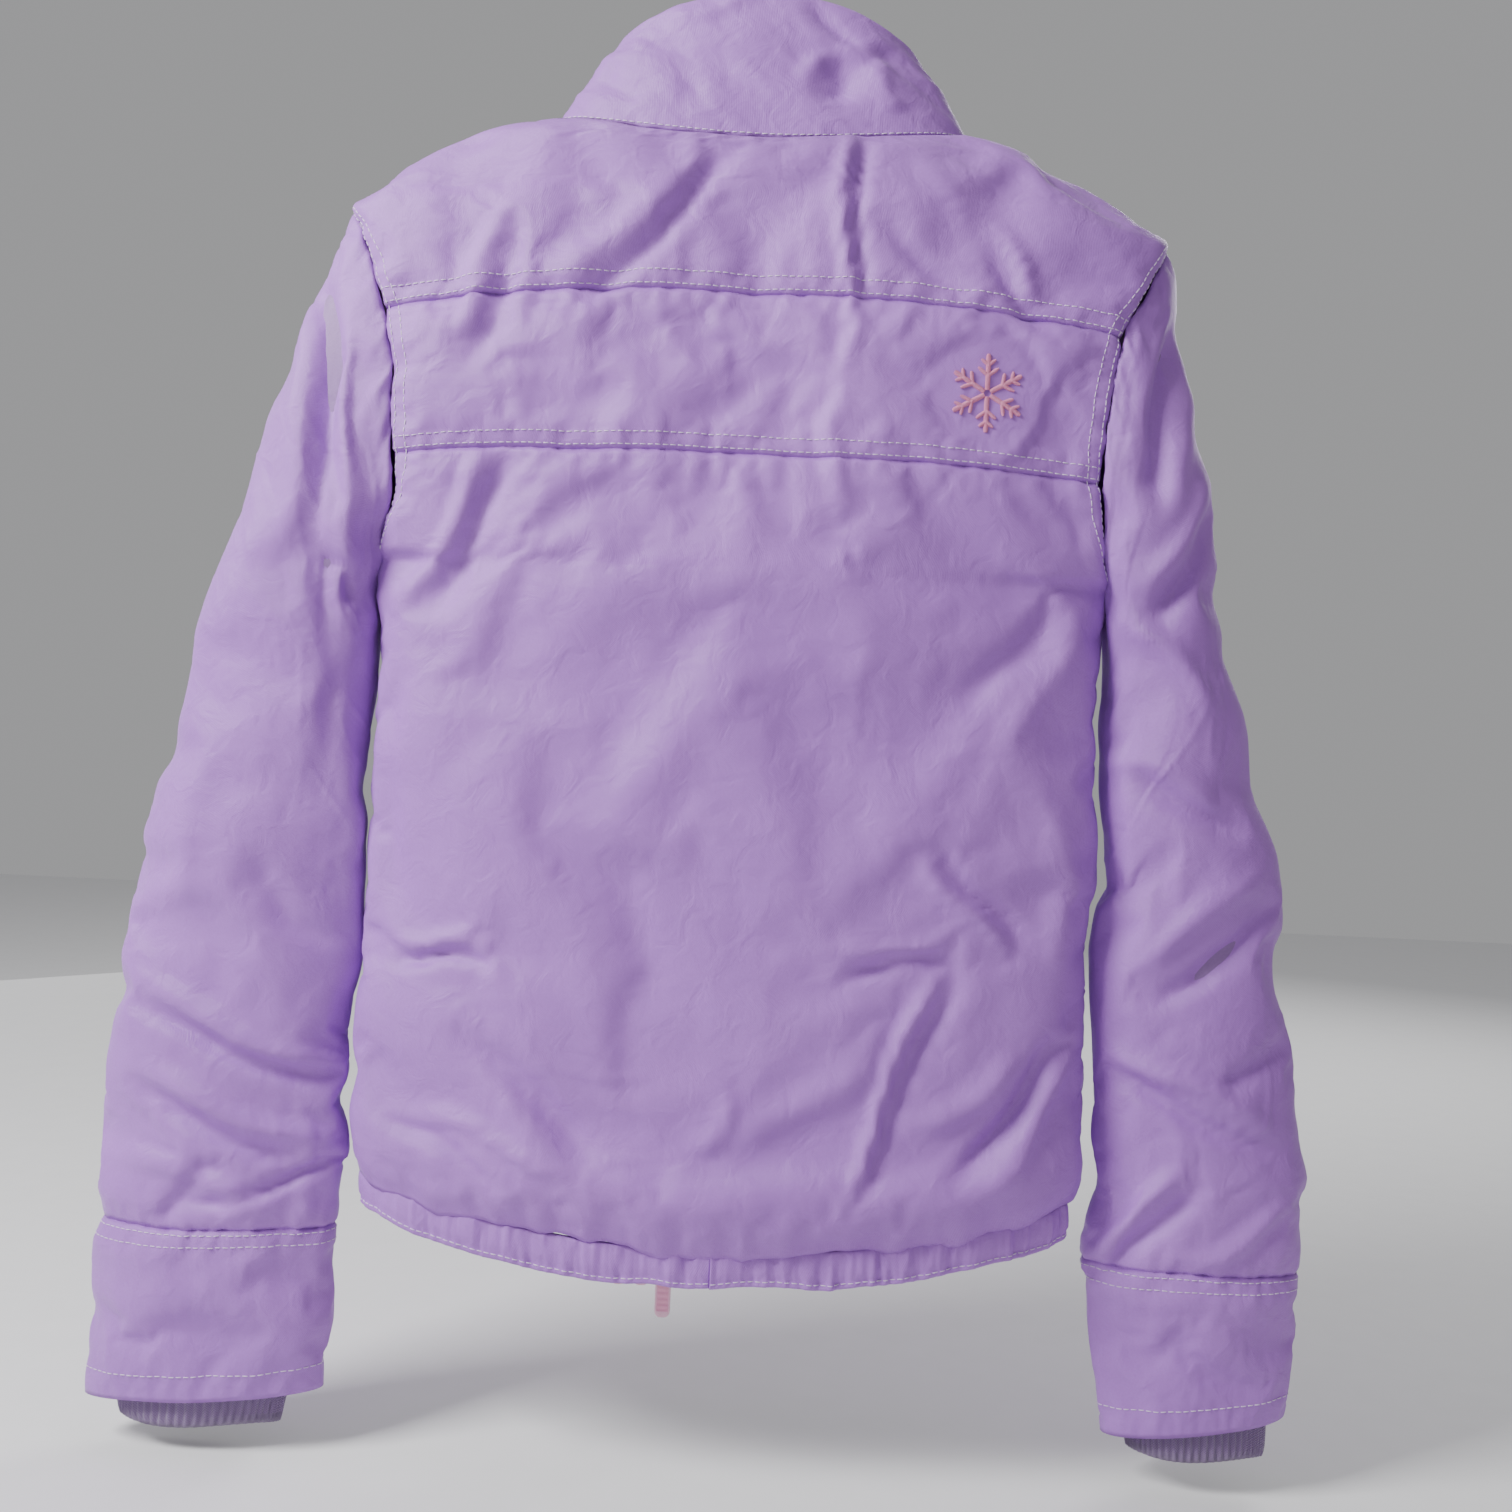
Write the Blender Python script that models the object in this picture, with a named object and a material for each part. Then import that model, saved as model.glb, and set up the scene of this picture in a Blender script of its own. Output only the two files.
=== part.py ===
"""A padded ski jacket that hangs by its loop, with its three front zips open.

Shapes are worked out in millimetres on the garment: +X is the wearer's left, -Y the front and +Z up,
with the side seams at y = 0 and the shoulder neck points at z = 0. The objects are made in metres and
moved so that the world origin is the point where the hanger loop rests on its hook.
"""

import math

import bmesh
import bpy
import numpy as np

MM = 0.001
SIDES = {"left": 1, "right": -1}

# Body of the jacket. Rows are numbered 0 at the waist overhang, 1 at the underarm, 2 at the shoulder
# point and 3 at the neck; parts of a row lie between.
HALF_WIDTH = 193.5
WAIST_Z = -562.0
WAIST_DROP_BACK = -24.0
WAIST_DROP_FRONT = -22.0
UNDERARM_Z = -238.0
SHOULDER = (219.0, -50.0)
NECK_HALF_WIDTH = 110.0
RIDGE_X = [219.0, 200.0, 176.0, 146.0, 110.0]
RIDGE_Z = [-50.0, -38.0, -23.0, -10.0, 0.0]
BACK_DEPTH_ROWS = [0.0, 0.6, 1.0, 1.6, 2.0, 3.0]
BACK_DEPTHS = [50.0, 50.0, 48.0, 45.0, 43.0, 38.0]
BACK_ARCH_Z = [-238.0, -183.0, -108.0, -50.0]
BACK_ARCHES = [0.0, 4.0, 12.0, 10.0]
BACK_NECK_DROP = -15.0
FRONT_DEPTH = 45.0
FRONT_ARCH_SHOULDER = -70.0
FRONT_NECK_DROP = -80.0
BACK_ROUNDNESS = 2.4
FRONT_ROUNDNESS = 5.0
ROW_ROUNDNESS = 2.6
FRONT_EDGE = {"left": 24.0, "right": 44.0}

# Armhole, a slanted loop from the shoulder point to the underarm that bows in over the back and chest
ARMHOLE_BOW = 20.0
ARMHOLE_DEPTH = {"back": 34.0, "front": 30.0}
LAYER_SETBACK = 0.9
YOKE_ANGLE = 67.5
MIDDLE_ANGLE = 114.5
ARMHOLE_ANGLES = [180.0, 147.0, MIDDLE_ANGLE, 91.0, YOKE_ANGLE, 45.0, 22.0, 0.0]

# Layers, as distances in from the outer face
SHELL = (0.0, 1.2)
WADDING = (2.0, 3.2)
POCKET_BAG = (4.0, 5.2)
LINING = (6.2, 7.2)
GAP = 0.4

# Sleeves: outer and inner outlines seen from behind, from the armhole to the cuff seam
SLEEVE_OUTER = {
    "left": [(219, -50), (252, -130), (286, -262), (314, -400), (330, -520), (330, -595)],
    "right": [(219, -50), (236, -130), (262, -262), (293, -390), (311, -516), (318, -597)],
}
SLEEVE_INNER = [(193.5, -238), (199, -290), (199, -380), (200, -460), (201, -530), (204, -595)]
SLEEVE_RINGS = [0.0, 0.1, 0.22, 0.36, 0.52, 0.68, 0.84, 1.0]
SLEEVE_DEPTH_START = {"back": 34.0, "front": 30.0}
SLEEVE_DEPTH_END = 24.0
SLEEVE_BOW_END = 0.36
CUFF_OUTER = {"left": (335, -691), "right": (312, -674)}
CUFF_INNER = {"left": (206, -684), "right": (212, -688)}
CUFF_DEPTH = 20.0
LINING_INTO_CUFF = 0.42
RIB_OUTER = {"left": [(322, -640), (316, -702)], "right": [(304, -638), (302, -696)]}
RIB_INNER = {"left": [(217, -640), (228, -702)], "right": [(219, -638), (227, -696)]}
RIB_DEPTH = (14.0, 15.5)
RIB_THICKNESS = 3.0

# Collar: a band between the neck seam and a narrower top edge that leans in
COLLAR_TOP_HALF_WIDTH = 78.0
COLLAR_TOP_BACK = (22.0, 69.0)
COLLAR_TOP_SIDE_Z = 48.0
COLLAR_TOP_FRONT_Z = -15.0
COLLAR_LAYERS = {"collar_outer": (0.0, 1.2), "collar_wadding": (1.6, 6.8), "collar_facing": (7.2, 8.4)}
COLLAR_HEIGHTS = [0.0, 0.35, 0.7, 1.0]

# Hem channel, a folded tube round the waist edge that holds an elastic band
HEM_HEIGHT_SIDE = 20.0
HEM_HEIGHT_CENTRE = 22.0
HEM_INSET = (3.0, 7.4)
HEM_WALL = 1.0
ELASTIC_PLAY = 0.4

# Front zips: chain positions out from the opening's centre line, tape plane and lengths
ZIPS = ["outer", "middle", "inner"]
ZIP_PITCH = 13.0
FIRST_CHAIN = 4.0
TAPE_Y = -48.1
TAPE_WIDTH = 7.5
TAPE_THICKNESS = 0.6
COIL_SIZE = (3.0, 2.4)
ZIP_TOP = -20.0
ZIP_BOTTOM = {"outer": -598.0, "middle": -580.0, "inner": -580.0}
BOX_HEIGHT = 8.0
PIN_HEIGHT = 16.0
SLIDER_HEIGHT = 11.0
SLIDER_HALF_WIDTH = 4.5
BAR_OFFSET = (-6.0, 7.0)
BAR_RADIUS = 0.7
LUG_X = (2.9, 3.9)
PULLER_LENGTH = 62.0
PULLER_HALF_WIDTH = 4.5
PULLER_THICKNESS = 2.2
KNUCKLE_HALF = (2.3, 2.1)
KNUCKLE_HOLE = 1.05

# Hand pockets
POCKET_X = 118.0
POCKET_Z = (-546.0, -396.0)
POCKET_TAPE_HALF = 12.0
POCKET_TAPE_Y = -45.9
POCKET_CHAIN = (2.5, 2.2)
POCKET_PULLER_LENGTH = 44.0
POCKET_SLIDER_BOTTOM = -541.0

# Hanger loop, label and embroidery
LOOP_HALF_SPAN = 30.0
LOOP_END = (25.6, -12.0)
LOOP_APEX = (18.0, 6.0)
LOOP_WIDTH = 5.0
LOOP_THICKNESS = 1.4
HANG_POINT = np.array([0.0, LOOP_APEX[0], LOOP_APEX[1] - LOOP_THICKNESS / 2])
LABEL_SIZE = (44.0, 18.0)
LABEL_Z = -48.0
MOTIF_CENTRE = (-121.0, -142.0)
MOTIF_RADII = (22.0, 9.0)
MOTIF_THICKNESS = 0.7
MOTIF_CLEARANCE = 0.4


def make_material(name, colour, roughness, metallic=0.0):
    """A plain Principled material."""
    found = bpy.data.materials.new(name)
    found.use_nodes = True
    shader = found.node_tree.nodes["Principled BSDF"]
    shader.inputs["Base Color"].default_value = (*colour, 1.0)
    shader.inputs["Roughness"].default_value = roughness
    shader.inputs["Metallic"].default_value = metallic
    return found


def make_object(name, points, faces, material, origin=HANG_POINT):
    """An object from points in garment millimetres, with its own origin at a garment point."""
    points = (np.asarray(points, float) - origin) * MM
    work = bmesh.new()
    corners = [work.verts.new(p) for p in points]
    for face in faces:
        work.faces.new([corners[i] for i in face])
    bmesh.ops.recalc_face_normals(work, faces=work.faces)
    if work.calc_volume(signed=True) < 0.0:
        bmesh.ops.reverse_faces(work, faces=work.faces)
    mesh = bpy.data.meshes.new(name)
    work.to_mesh(mesh)
    work.free()
    mesh.materials.append(material)
    made = bpy.data.objects.new(name, mesh)
    made.location = (np.asarray(origin, float) - HANG_POINT) * MM
    bpy.context.scene.collection.objects.link(made)
    return made


def combine(target, other, operation):
    """Adds or cuts another solid into the target, and removes the other."""
    join = target.modifiers.new("combine", "BOOLEAN")
    join.operation = operation
    join.object = other
    bpy.context.view_layer.update()
    graph = bpy.context.evaluated_depsgraph_get()
    mesh = bpy.data.meshes.new_from_object(target.evaluated_get(graph))
    target.modifiers.clear()
    target.data = mesh
    bpy.data.objects.remove(other)
    return target


def thick_sheet(name, outer, inner, material, wrap=False, origin=HANG_POINT):
    """A closed solid between two grids of points; wrap joins the last column to the first."""
    rows, cols, _ = outer.shape
    points = np.concatenate([outer.reshape(-1, 3), inner.reshape(-1, 3)])
    second = rows * cols
    faces = []
    for r in range(rows - 1):
        for c in range(cols if wrap else cols - 1):
            a, b = r * cols + c, r * cols + (c + 1) % cols
            d, e = a + cols, b + cols
            faces += [(a, b, e), (a, e, d)]
            faces += [(second + a, second + e, second + b), (second + a, second + d, second + e)]
    edges = []
    for c in range(cols if wrap else cols - 1):
        edges.append((c, (c + 1) % cols))
        edges.append(((rows - 1) * cols + (c + 1) % cols, (rows - 1) * cols + c))
    if not wrap:
        for r in range(rows - 1):
            edges.append(((r + 1) * cols, r * cols))
            edges.append((r * cols + cols - 1, (r + 1) * cols + cols - 1))
    for a, b in edges:
        faces += [(b, a, second + a), (b, second + a, second + b)]
    return make_object(name, points, faces, material, origin)


def extrusion(name, outline, axis, low, high, material, origin=HANG_POINT):
    """A prism of a closed outline: along z from (x, y) points, or along y from (x, z) points."""
    count = len(outline)
    points = []
    for level in (low, high):
        for a, b in outline:
            points.append((a, b, level) if axis == "z" else (a, level, b))
    faces = [tuple(range(count)), tuple(range(2 * count - 1, count - 1, -1))]
    for i in range(count):
        j = (i + 1) % count
        faces.append((i, j, count + j, count + i))
    return make_object(name, points, faces, material, origin)


def block(name, low, high, material, origin=HANG_POINT):
    """A rectangular block between two garment points."""
    outline = [(low[0], low[1]), (high[0], low[1]), (high[0], high[1]), (low[0], high[1])]
    return extrusion(name, outline, "z", low[2], high[2], material, origin)


def armhole_point(angle, face, inset):
    """The armhole loop at an angle from the shoulder point, on the back or the front, without setback."""
    turn = math.radians(angle)
    middle_x = (SHOULDER[0] + HALF_WIDTH) / 2
    middle_z = (SHOULDER[1] + UNDERARM_Z) / 2
    reach_x = (SHOULDER[0] - HALF_WIDTH) / 2
    reach_z = (SHOULDER[1] - UNDERARM_Z) / 2 - inset
    depth = ARMHOLE_DEPTH[face] - inset
    x = middle_x + reach_x * math.cos(turn) - ARMHOLE_BOW * math.sin(turn) ** 2
    return x, depth * math.sin(turn), middle_z + reach_z * math.cos(turn)


def row_edge(row, face, inset):
    """Where a body row ends: half width, depth there and height."""
    setback = LAYER_SETBACK * inset
    if row <= 1.0:
        low, high = WAIST_Z, UNDERARM_Z + inset
        width = HALF_WIDTH - setback if row == 1.0 else HALF_WIDTH - inset
        return width, 0.0, low + (high - low) * row
    if row <= 2.0:
        x, y, z = armhole_point(180.0 * (2.0 - row), face, inset)
        return x - setback, y, z
    place = (row - 2.0) * (len(RIDGE_X) - 1)
    steps = range(len(RIDGE_X))
    half = float(np.interp(place, steps, RIDGE_X)) - setback * (3.0 - row)
    return half, 0.0, float(np.interp(place, steps, RIDGE_Z)) - inset


def row_arch(row, face, edge_z):
    """How much higher a row lies at its centre than at its edge."""
    if row <= 1.0:
        drop = WAIST_DROP_BACK if face == "back" else WAIST_DROP_FRONT
        return drop * (1.0 - row) ** 1.5
    if face == "back":
        arch = float(np.interp(edge_z, BACK_ARCH_Z, BACK_ARCHES))
        return arch if row <= 2.0 else arch + (BACK_NECK_DROP - arch) * (row - 2.0)
    climb = min(1.0, (edge_z - UNDERARM_Z) / (SHOULDER[1] - UNDERARM_Z))
    if row <= 2.0:
        return FRONT_ARCH_SHOULDER * climb
    return FRONT_ARCH_SHOULDER + (FRONT_NECK_DROP - FRONT_ARCH_SHOULDER) * (row - 2.0)


def body_point(row, across, face, inset=0.0):
    """A point of the body's outer face, or of a layer inside it. across runs from -1 to 1."""
    half, edge_y, edge_z = row_edge(row, face, inset)
    share = min(1.0, abs(across))
    round_shape = BACK_ROUNDNESS if face == "back" else FRONT_ROUNDNESS
    full = (1.0 - share**round_shape) ** (1.0 / round_shape)
    soft = 1.0 - share**ROW_ROUNDNESS
    softness = min(1.0, edge_y / (ARMHOLE_DEPTH[face] - inset))
    height = full + (soft - full) * softness
    depth = FRONT_DEPTH if face == "front" else float(np.interp(row, BACK_DEPTH_ROWS, BACK_DEPTHS))
    y = edge_y + (depth - inset - edge_y) * height
    seam = GAP / 2
    z = edge_z + row_arch(row, face, edge_z) * (1.0 - share**2)
    return half * across, (y + seam) * (1 if face == "back" else -1), z


ARMHOLE_ROWS = [2.0 - angle / 180.0 for angle in ARMHOLE_ANGLES]
YOKE_ROW = 2.0 - YOKE_ANGLE / 180.0
MIDDLE_ROW = 2.0 - MIDDLE_ANGLE / 180.0
FRONT_YOKE_ROW = ARMHOLE_ROWS[5]
BODY_ROWS = [0.0, 0.25, 0.5, 0.75, 0.965] + ARMHOLE_ROWS + [2.33, 2.67, 3.0]
HALF_COLUMNS = [0.25, 0.48, 0.7, 0.86, 0.96, 1.0]
BACK_COLUMNS = [-c for c in reversed(HALF_COLUMNS)] + [0.0] + HALF_COLUMNS
FRONT_COLUMNS = [0.0, 0.27, 0.52, 0.73, 0.87, 0.96, 1.0]


def columns_of(row, face, side, inset):
    """The row's column positions as shares of its half width."""
    if face == "back":
        return BACK_COLUMNS
    start = FRONT_EDGE[side] / row_edge(row, face, inset)[0]
    return [(start + (1.0 - start) * c) * SIDES[side] for c in FRONT_COLUMNS]


def body_grid(first, last, face, side, inset, columns=None):
    """The grid of one layer between two rows, trimmed by half a gap at its top and bottom."""
    rows = [r for r in BODY_ROWS if first - 1e-9 <= r <= last + 1e-9]
    grid = []
    for row in rows:
        line = [body_point(row, a, face, inset) for a in columns_of(row, face, side, inset)]
        grid.append(line[columns] if columns else line)
    grid = np.array(grid)
    grid[0, :, 2] += GAP / 2
    grid[-1, :, 2] -= GAP / 2
    return grid


def body_panel(name, first, last, face, side, layer, material, columns=None):
    """One cut piece of the body in one layer."""
    outer = body_grid(first, last, face, side, layer[0], columns)
    inner = body_grid(first, last, face, side, layer[1], columns)
    return thick_sheet(name, outer, inner, material)


def make_body(fabric, wadding, lining, bag):
    """The shell panels, wadding and lining of the body, and the pocket bags."""
    body_panel("back_lower_panel", 0.0, MIDDLE_ROW, "back", None, SHELL, fabric)
    body_panel("back_middle_panel", MIDDLE_ROW, YOKE_ROW, "back", None, SHELL, fabric)
    body_panel("back_yoke", YOKE_ROW, 3.0, "back", None, SHELL, fabric)
    body_panel("back_wadding", 0.0, 3.0, "back", None, WADDING, wadding)
    body_panel("back_lining", 0.0, 3.0, "back", None, LINING, lining)
    for side in SIDES:
        body_panel(f"front_{side}_panel", 0.0, FRONT_YOKE_ROW, "front", side, SHELL, fabric)
        body_panel(f"front_{side}_yoke", FRONT_YOKE_ROW, 3.0, "front", side, SHELL, fabric)
        body_panel(f"front_{side}_wadding", 0.0, 3.0, "front", side, WADDING, wadding)
        body_panel(f"front_{side}_lining", 0.0, 3.0, "front", side, LINING, lining)
        body_panel(f"{side}_pocket_bag", 0.0, 0.5, "front", side, POCKET_BAG, bag, slice(1, 5))


def outline_point(points, place, inset, inward):
    """A point along an outline with equal steps by length, moved in by an inset."""
    points = np.array(points, float)
    lengths = np.concatenate([[0.0], np.cumsum(np.linalg.norm(np.diff(points, axis=0), axis=1))])
    here = place * lengths[-1]
    spot = np.array([np.interp(here, lengths, points[:, i]) for i in range(2)])
    ahead = min(here + 5.0, lengths[-1])
    behind = max(here - 5.0, 0.0)
    run = np.array([np.interp(ahead, lengths, points[:, i]) - np.interp(behind, lengths, points[:, i])
                    for i in range(2)])
    run /= np.linalg.norm(run)
    return spot + inset * inward * np.array([run[1], -run[0]])


RING_ANGLES = ARMHOLE_ANGLES[::-1] + [360.0 - a for a in ARMHOLE_ANGLES[1:-1]]


def sleeve_ring(side, place, inset):
    """One ring of a sleeve; place runs from 0 at the armhole to 1 at the cuff seam and 2 at the hem."""
    sign = SIDES[side]
    if place <= 1.0:
        outer = outline_point(SLEEVE_OUTER[side], place, inset, 1.0)
        inner = outline_point(SLEEVE_INNER, place, inset, -1.0)
    else:
        cuff_outer = [SLEEVE_OUTER[side][-1], CUFF_OUTER[side]]
        cuff_inner = [SLEEVE_INNER[-1], CUFF_INNER[side]]
        outer = outline_point(cuff_outer, place - 1.0, inset, 1.0)
        inner = outline_point(cuff_inner, place - 1.0, inset, -1.0)
    ring = []
    for angle in RING_ANGLES:
        turn = math.radians(angle)
        face = "back" if angle <= 180.0 else "front"
        if place == 0.0:
            x, y, z = armhole_point(angle if angle <= 180.0 else 360.0 - angle, face, inset)
            x += GAP - LAYER_SETBACK * inset * math.cos(turn)
            ring.append((sign * x, y if face == "back" else -y, z))
            continue
        start = SLEEVE_DEPTH_START[face]
        end = SLEEVE_DEPTH_END
        depth = start + (end - start) * min(place, 1.0)
        depth += (CUFF_DEPTH - end) * max(0.0, place - 1.0)
        bow = ARMHOLE_BOW * max(0.0, 1.0 - place / SLEEVE_BOW_END) ** 2
        middle, reach = (outer + inner) / 2, (outer - inner) / 2
        x, z = middle + reach * math.cos(turn)
        x -= bow * math.sin(turn) ** 2
        ring.append((sign * x, (depth - inset) * math.sin(turn), z))
    return ring


def sleeve_tube(name, side, places, layer, material, lower=0.0):
    """A tube of sleeve rings in one layer; lower moves its top edge down to leave a gap."""
    grids = []
    for inset in layer:
        grid = np.array([sleeve_ring(side, place, inset) for place in places])
        grid[0, :, 2] -= lower
        grids.append(grid)
    return thick_sheet(name, *grids, material, wrap=True, origin=sleeve_pivot(side))


def sleeve_pivot(side):
    """The shoulder point, which a sleeve swings about."""
    return np.array([SIDES[side] * SHOULDER[0], 0.0, SHOULDER[1]])


def make_rib(side, material):
    """The knitted inner cuff, a narrower tube that shows below the cuff."""
    grids = []
    for inset in (0.0, RIB_THICKNESS):
        rings = []
        for i in range(2):
            outer = np.array(RIB_OUTER[side][i], float) - [inset, 0.0]
            inner = np.array(RIB_INNER[side][i], float) + [inset, 0.0]
            middle, reach = (outer + inner) / 2, (outer - inner) / 2
            ring = []
            for angle in RING_ANGLES:
                turn = math.radians(angle)
                x, z = middle + reach * math.cos(turn)
                ring.append((SIDES[side] * x, (RIB_DEPTH[i] - inset) * math.sin(turn), z))
            rings.append(ring)
        grids.append(np.array(rings))
    thick_sheet(f"{side}_rib_cuff", *grids, material, wrap=True, origin=sleeve_pivot(side))


def make_sleeves(fabric, wadding, lining, knit):
    """Both sleeves with their layers, cuffs and knitted inner cuffs."""
    for side in SIDES:
        sleeve_tube(f"{side}_sleeve", side, SLEEVE_RINGS, SHELL, fabric)
        sleeve_tube(f"{side}_sleeve_wadding", side, SLEEVE_RINGS, WADDING, wadding)
        into_cuff = SLEEVE_RINGS + [1.0 + LINING_INTO_CUFF]
        sleeve_tube(f"{side}_sleeve_lining", side, into_cuff, LINING, lining)
        sleeve_tube(f"{side}_cuff", side, [1.0 + 1e-9, 1.5, 2.0], SHELL, fabric, lower=GAP)
        make_rib(side, knit)


def neck_point(share, face, inset):
    """The neck seam; share is the part of its half width, signed."""
    half = NECK_HALF_WIDTH - inset
    side_share = min(1.0, abs(share))
    round_shape = BACK_ROUNDNESS if face == "back" else FRONT_ROUNDNESS
    height = (1.0 - side_share**round_shape) ** (1.0 / round_shape)
    depth = BACK_DEPTHS[-1] if face == "back" else FRONT_DEPTH
    drop = BACK_NECK_DROP if face == "back" else FRONT_NECK_DROP
    y = (depth - inset) * height * (1 if face == "back" else -1)
    return half * share, y, drop * (1.0 - side_share**2) + GAP


def collar_top_point(share, face, inset):
    """The collar's top edge above the same part of the neck seam."""
    half = COLLAR_TOP_HALF_WIDTH - inset
    side_share = min(1.0, abs(share))
    round_shape = BACK_ROUNDNESS if face == "back" else FRONT_ROUNDNESS
    height = (1.0 - side_share**round_shape) ** (1.0 / round_shape)
    if face == "back":
        y = (COLLAR_TOP_BACK[0] - inset) * height
        z = COLLAR_TOP_BACK[1] + (COLLAR_TOP_SIDE_Z - COLLAR_TOP_BACK[1]) * side_share**2
    else:
        y = -(FRONT_DEPTH - inset) * height
        z = COLLAR_TOP_FRONT_Z + (COLLAR_TOP_SIDE_Z - COLLAR_TOP_FRONT_Z) * side_share**2
    return half * share, y, z


def collar_line(point, half, inset):
    """One line round the collar, from the right front edge over the back to the left front edge."""
    line = []
    for c in FRONT_COLUMNS:
        start = FRONT_EDGE["right"] / (half - inset)
        line.append(point(-(start + (1.0 - start) * c), "front", inset))
    line += [point(c, "back", inset) for c in BACK_COLUMNS[1:-1]]
    for c in reversed(FRONT_COLUMNS):
        start = FRONT_EDGE["left"] / (half - inset)
        line.append(point(start + (1.0 - start) * c, "front", inset))
    return np.array(line)


def collar_grid(inset):
    """The collar between its two edges, bulging a little at half height."""
    low = collar_line(neck_point, NECK_HALF_WIDTH, inset)
    top = collar_line(collar_top_point, COLLAR_TOP_HALF_WIDTH, inset)
    return np.array([low + (top - low) * h for h in COLLAR_HEIGHTS])


def make_collar(materials):
    """The padded stand collar in three layers."""
    for name, (near, far) in COLLAR_LAYERS.items():
        thick_sheet(name, collar_grid(near), collar_grid(far), materials[name])


def hem_line(side, inset, shift_top, shift_bottom):
    """The hem band's upper and lower line at one inset, from the centre back to the front edge."""
    tops, bottoms = [], []
    back = [("back", c) for c in [0.0] + HALF_COLUMNS]
    edge = FRONT_EDGE[side] / (HALF_WIDTH - inset)
    front = [("front", edge + (1.0 - edge) * c) for c in reversed(FRONT_COLUMNS[:-1])]
    for face, share in back + front:
        x, y, z = body_point(0.0, share * SIDES[side], face, inset)
        seam = GAP / 2 * (1 if face == "back" else -1)
        height = HEM_HEIGHT_SIDE + (HEM_HEIGHT_CENTRE - HEM_HEIGHT_SIDE) * (1.0 - share**2)
        tops.append((x, y - seam, z - GAP - shift_top))
        bottoms.append((x, y - seam, z - height + shift_bottom))
    return tops, bottoms


def hem_loops(side, near, far, trim):
    """The four long edges of a rectangular tube in the hem, as a closed section per step."""
    outer_top, outer_bottom = hem_line(side, near, trim, trim)
    inner_top, inner_bottom = hem_line(side, far, trim, trim)
    return np.array([outer_top, outer_bottom, inner_bottom, inner_top]).transpose(1, 0, 2)


def make_hem(fabric, rubber):
    """The two halves of the hem channel, joined at the centre back, and the elastic inside."""
    for side in SIDES:
        outer = hem_loops(side, *HEM_INSET, 0.0)
        inner = hem_loops(side, HEM_INSET[0] + HEM_WALL, HEM_INSET[1] - HEM_WALL, HEM_WALL)
        for grid in (outer, inner):
            grid[0, :, 0] += SIDES[side] * GAP / 2
        thick_sheet(f"hem_channel_{side}", outer, inner, fabric, wrap=True)
    slack = HEM_WALL + ELASTIC_PLAY
    left = hem_loops("left", HEM_INSET[0] + slack, HEM_INSET[1] - slack, slack)
    right = hem_loops("right", HEM_INSET[0] + slack, HEM_INSET[1] - slack, slack)
    path = np.concatenate([right[::-1], left[1:]])
    steps = len(path)
    faces = [(0, 1, 2, 3), tuple(4 * (steps - 1) + i for i in (3, 2, 1, 0))]
    for s in range(steps - 1):
        for i in range(4):
            a, b = 4 * s + i, 4 * s + (i + 1) % 4
            faces += [(a, b, b + 4), (a, b + 4, a + 4)]
    make_object("hem_elastic", path.reshape(-1, 3), faces, rubber)


def chain_x(side, number):
    """Where a front zip's chain runs."""
    return SIDES[side] * (FRONT_EDGE[side] + FIRST_CHAIN + ZIP_PITCH * number)


def make_zip_half(side, number, fabric, hardware):
    """A tape with its coil, and the box or pin at its lower end."""
    which = ZIPS[number]
    sign, x = SIDES[side], chain_x(side, number)
    wide, deep = COIL_SIZE[0] / 2, COIL_SIZE[1] / 2
    thin = TAPE_THICKNESS / 2
    outline = [(-wide, -deep), (wide, -deep), (wide, -thin), (TAPE_WIDTH, -thin),
               (TAPE_WIDTH, thin), (wide, thin), (wide, deep), (-wide, deep)]
    placed = [(x + sign * a, TAPE_Y + b) for a, b in outline]
    bottom = ZIP_BOTTOM[which]
    lift = PIN_HEIGHT - BOX_HEIGHT if side == "right" else 0.0
    extrusion(f"{which}_zip_half_{side}", placed, "z", bottom + lift, ZIP_TOP, fabric)
    end = bottom - BOX_HEIGHT
    if side == "left":
        low, high = (x - 4.0, TAPE_Y - 2.0, end), (x + 4.0, TAPE_Y + 2.0, bottom - GAP)
        block(f"{which}_zip_box", low, high, hardware)
    else:
        low, high = (x - wide, TAPE_Y - deep, end), (x + wide, TAPE_Y + deep, bottom + lift - GAP)
        block(f"{which}_zip_pin", low, high, hardware)


def add_lugs(slider, centre, face_y, hardware, origin):
    """Two lugs and the bar between them, which carries the puller."""
    bar_y, bar_z = centre[1] + BAR_OFFSET[0], centre[2] + BAR_OFFSET[1]
    for sign in (-1, 1):
        a, b = sorted((centre[0] + sign * LUG_X[0], centre[0] + sign * LUG_X[1]))
        low, high = (a, bar_y - 1.4, bar_z - 1.6), (b, face_y + 0.3, bar_z + 1.6)
        combine(slider, block("lug", low, high, hardware, origin), "UNION")
    work = [(BAR_RADIUS * math.cos(math.tau * i / 8), BAR_RADIUS * math.sin(math.tau * i / 8))
            for i in range(8)]
    reach = (LUG_X[0] + LUG_X[1]) / 2
    points = [(centre[0] + s * reach, bar_y + a, bar_z + b) for s in (-1, 1) for a, b in work]
    faces = [tuple(range(8)), tuple(range(15, 7, -1))]
    faces += [(i, (i + 1) % 8, 8 + (i + 1) % 8, 8 + i) for i in range(8)]
    combine(slider, make_object("bar", points, faces, hardware, origin), "UNION")
    slider.data.materials.clear()
    slider.data.materials.append(hardware)


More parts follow.
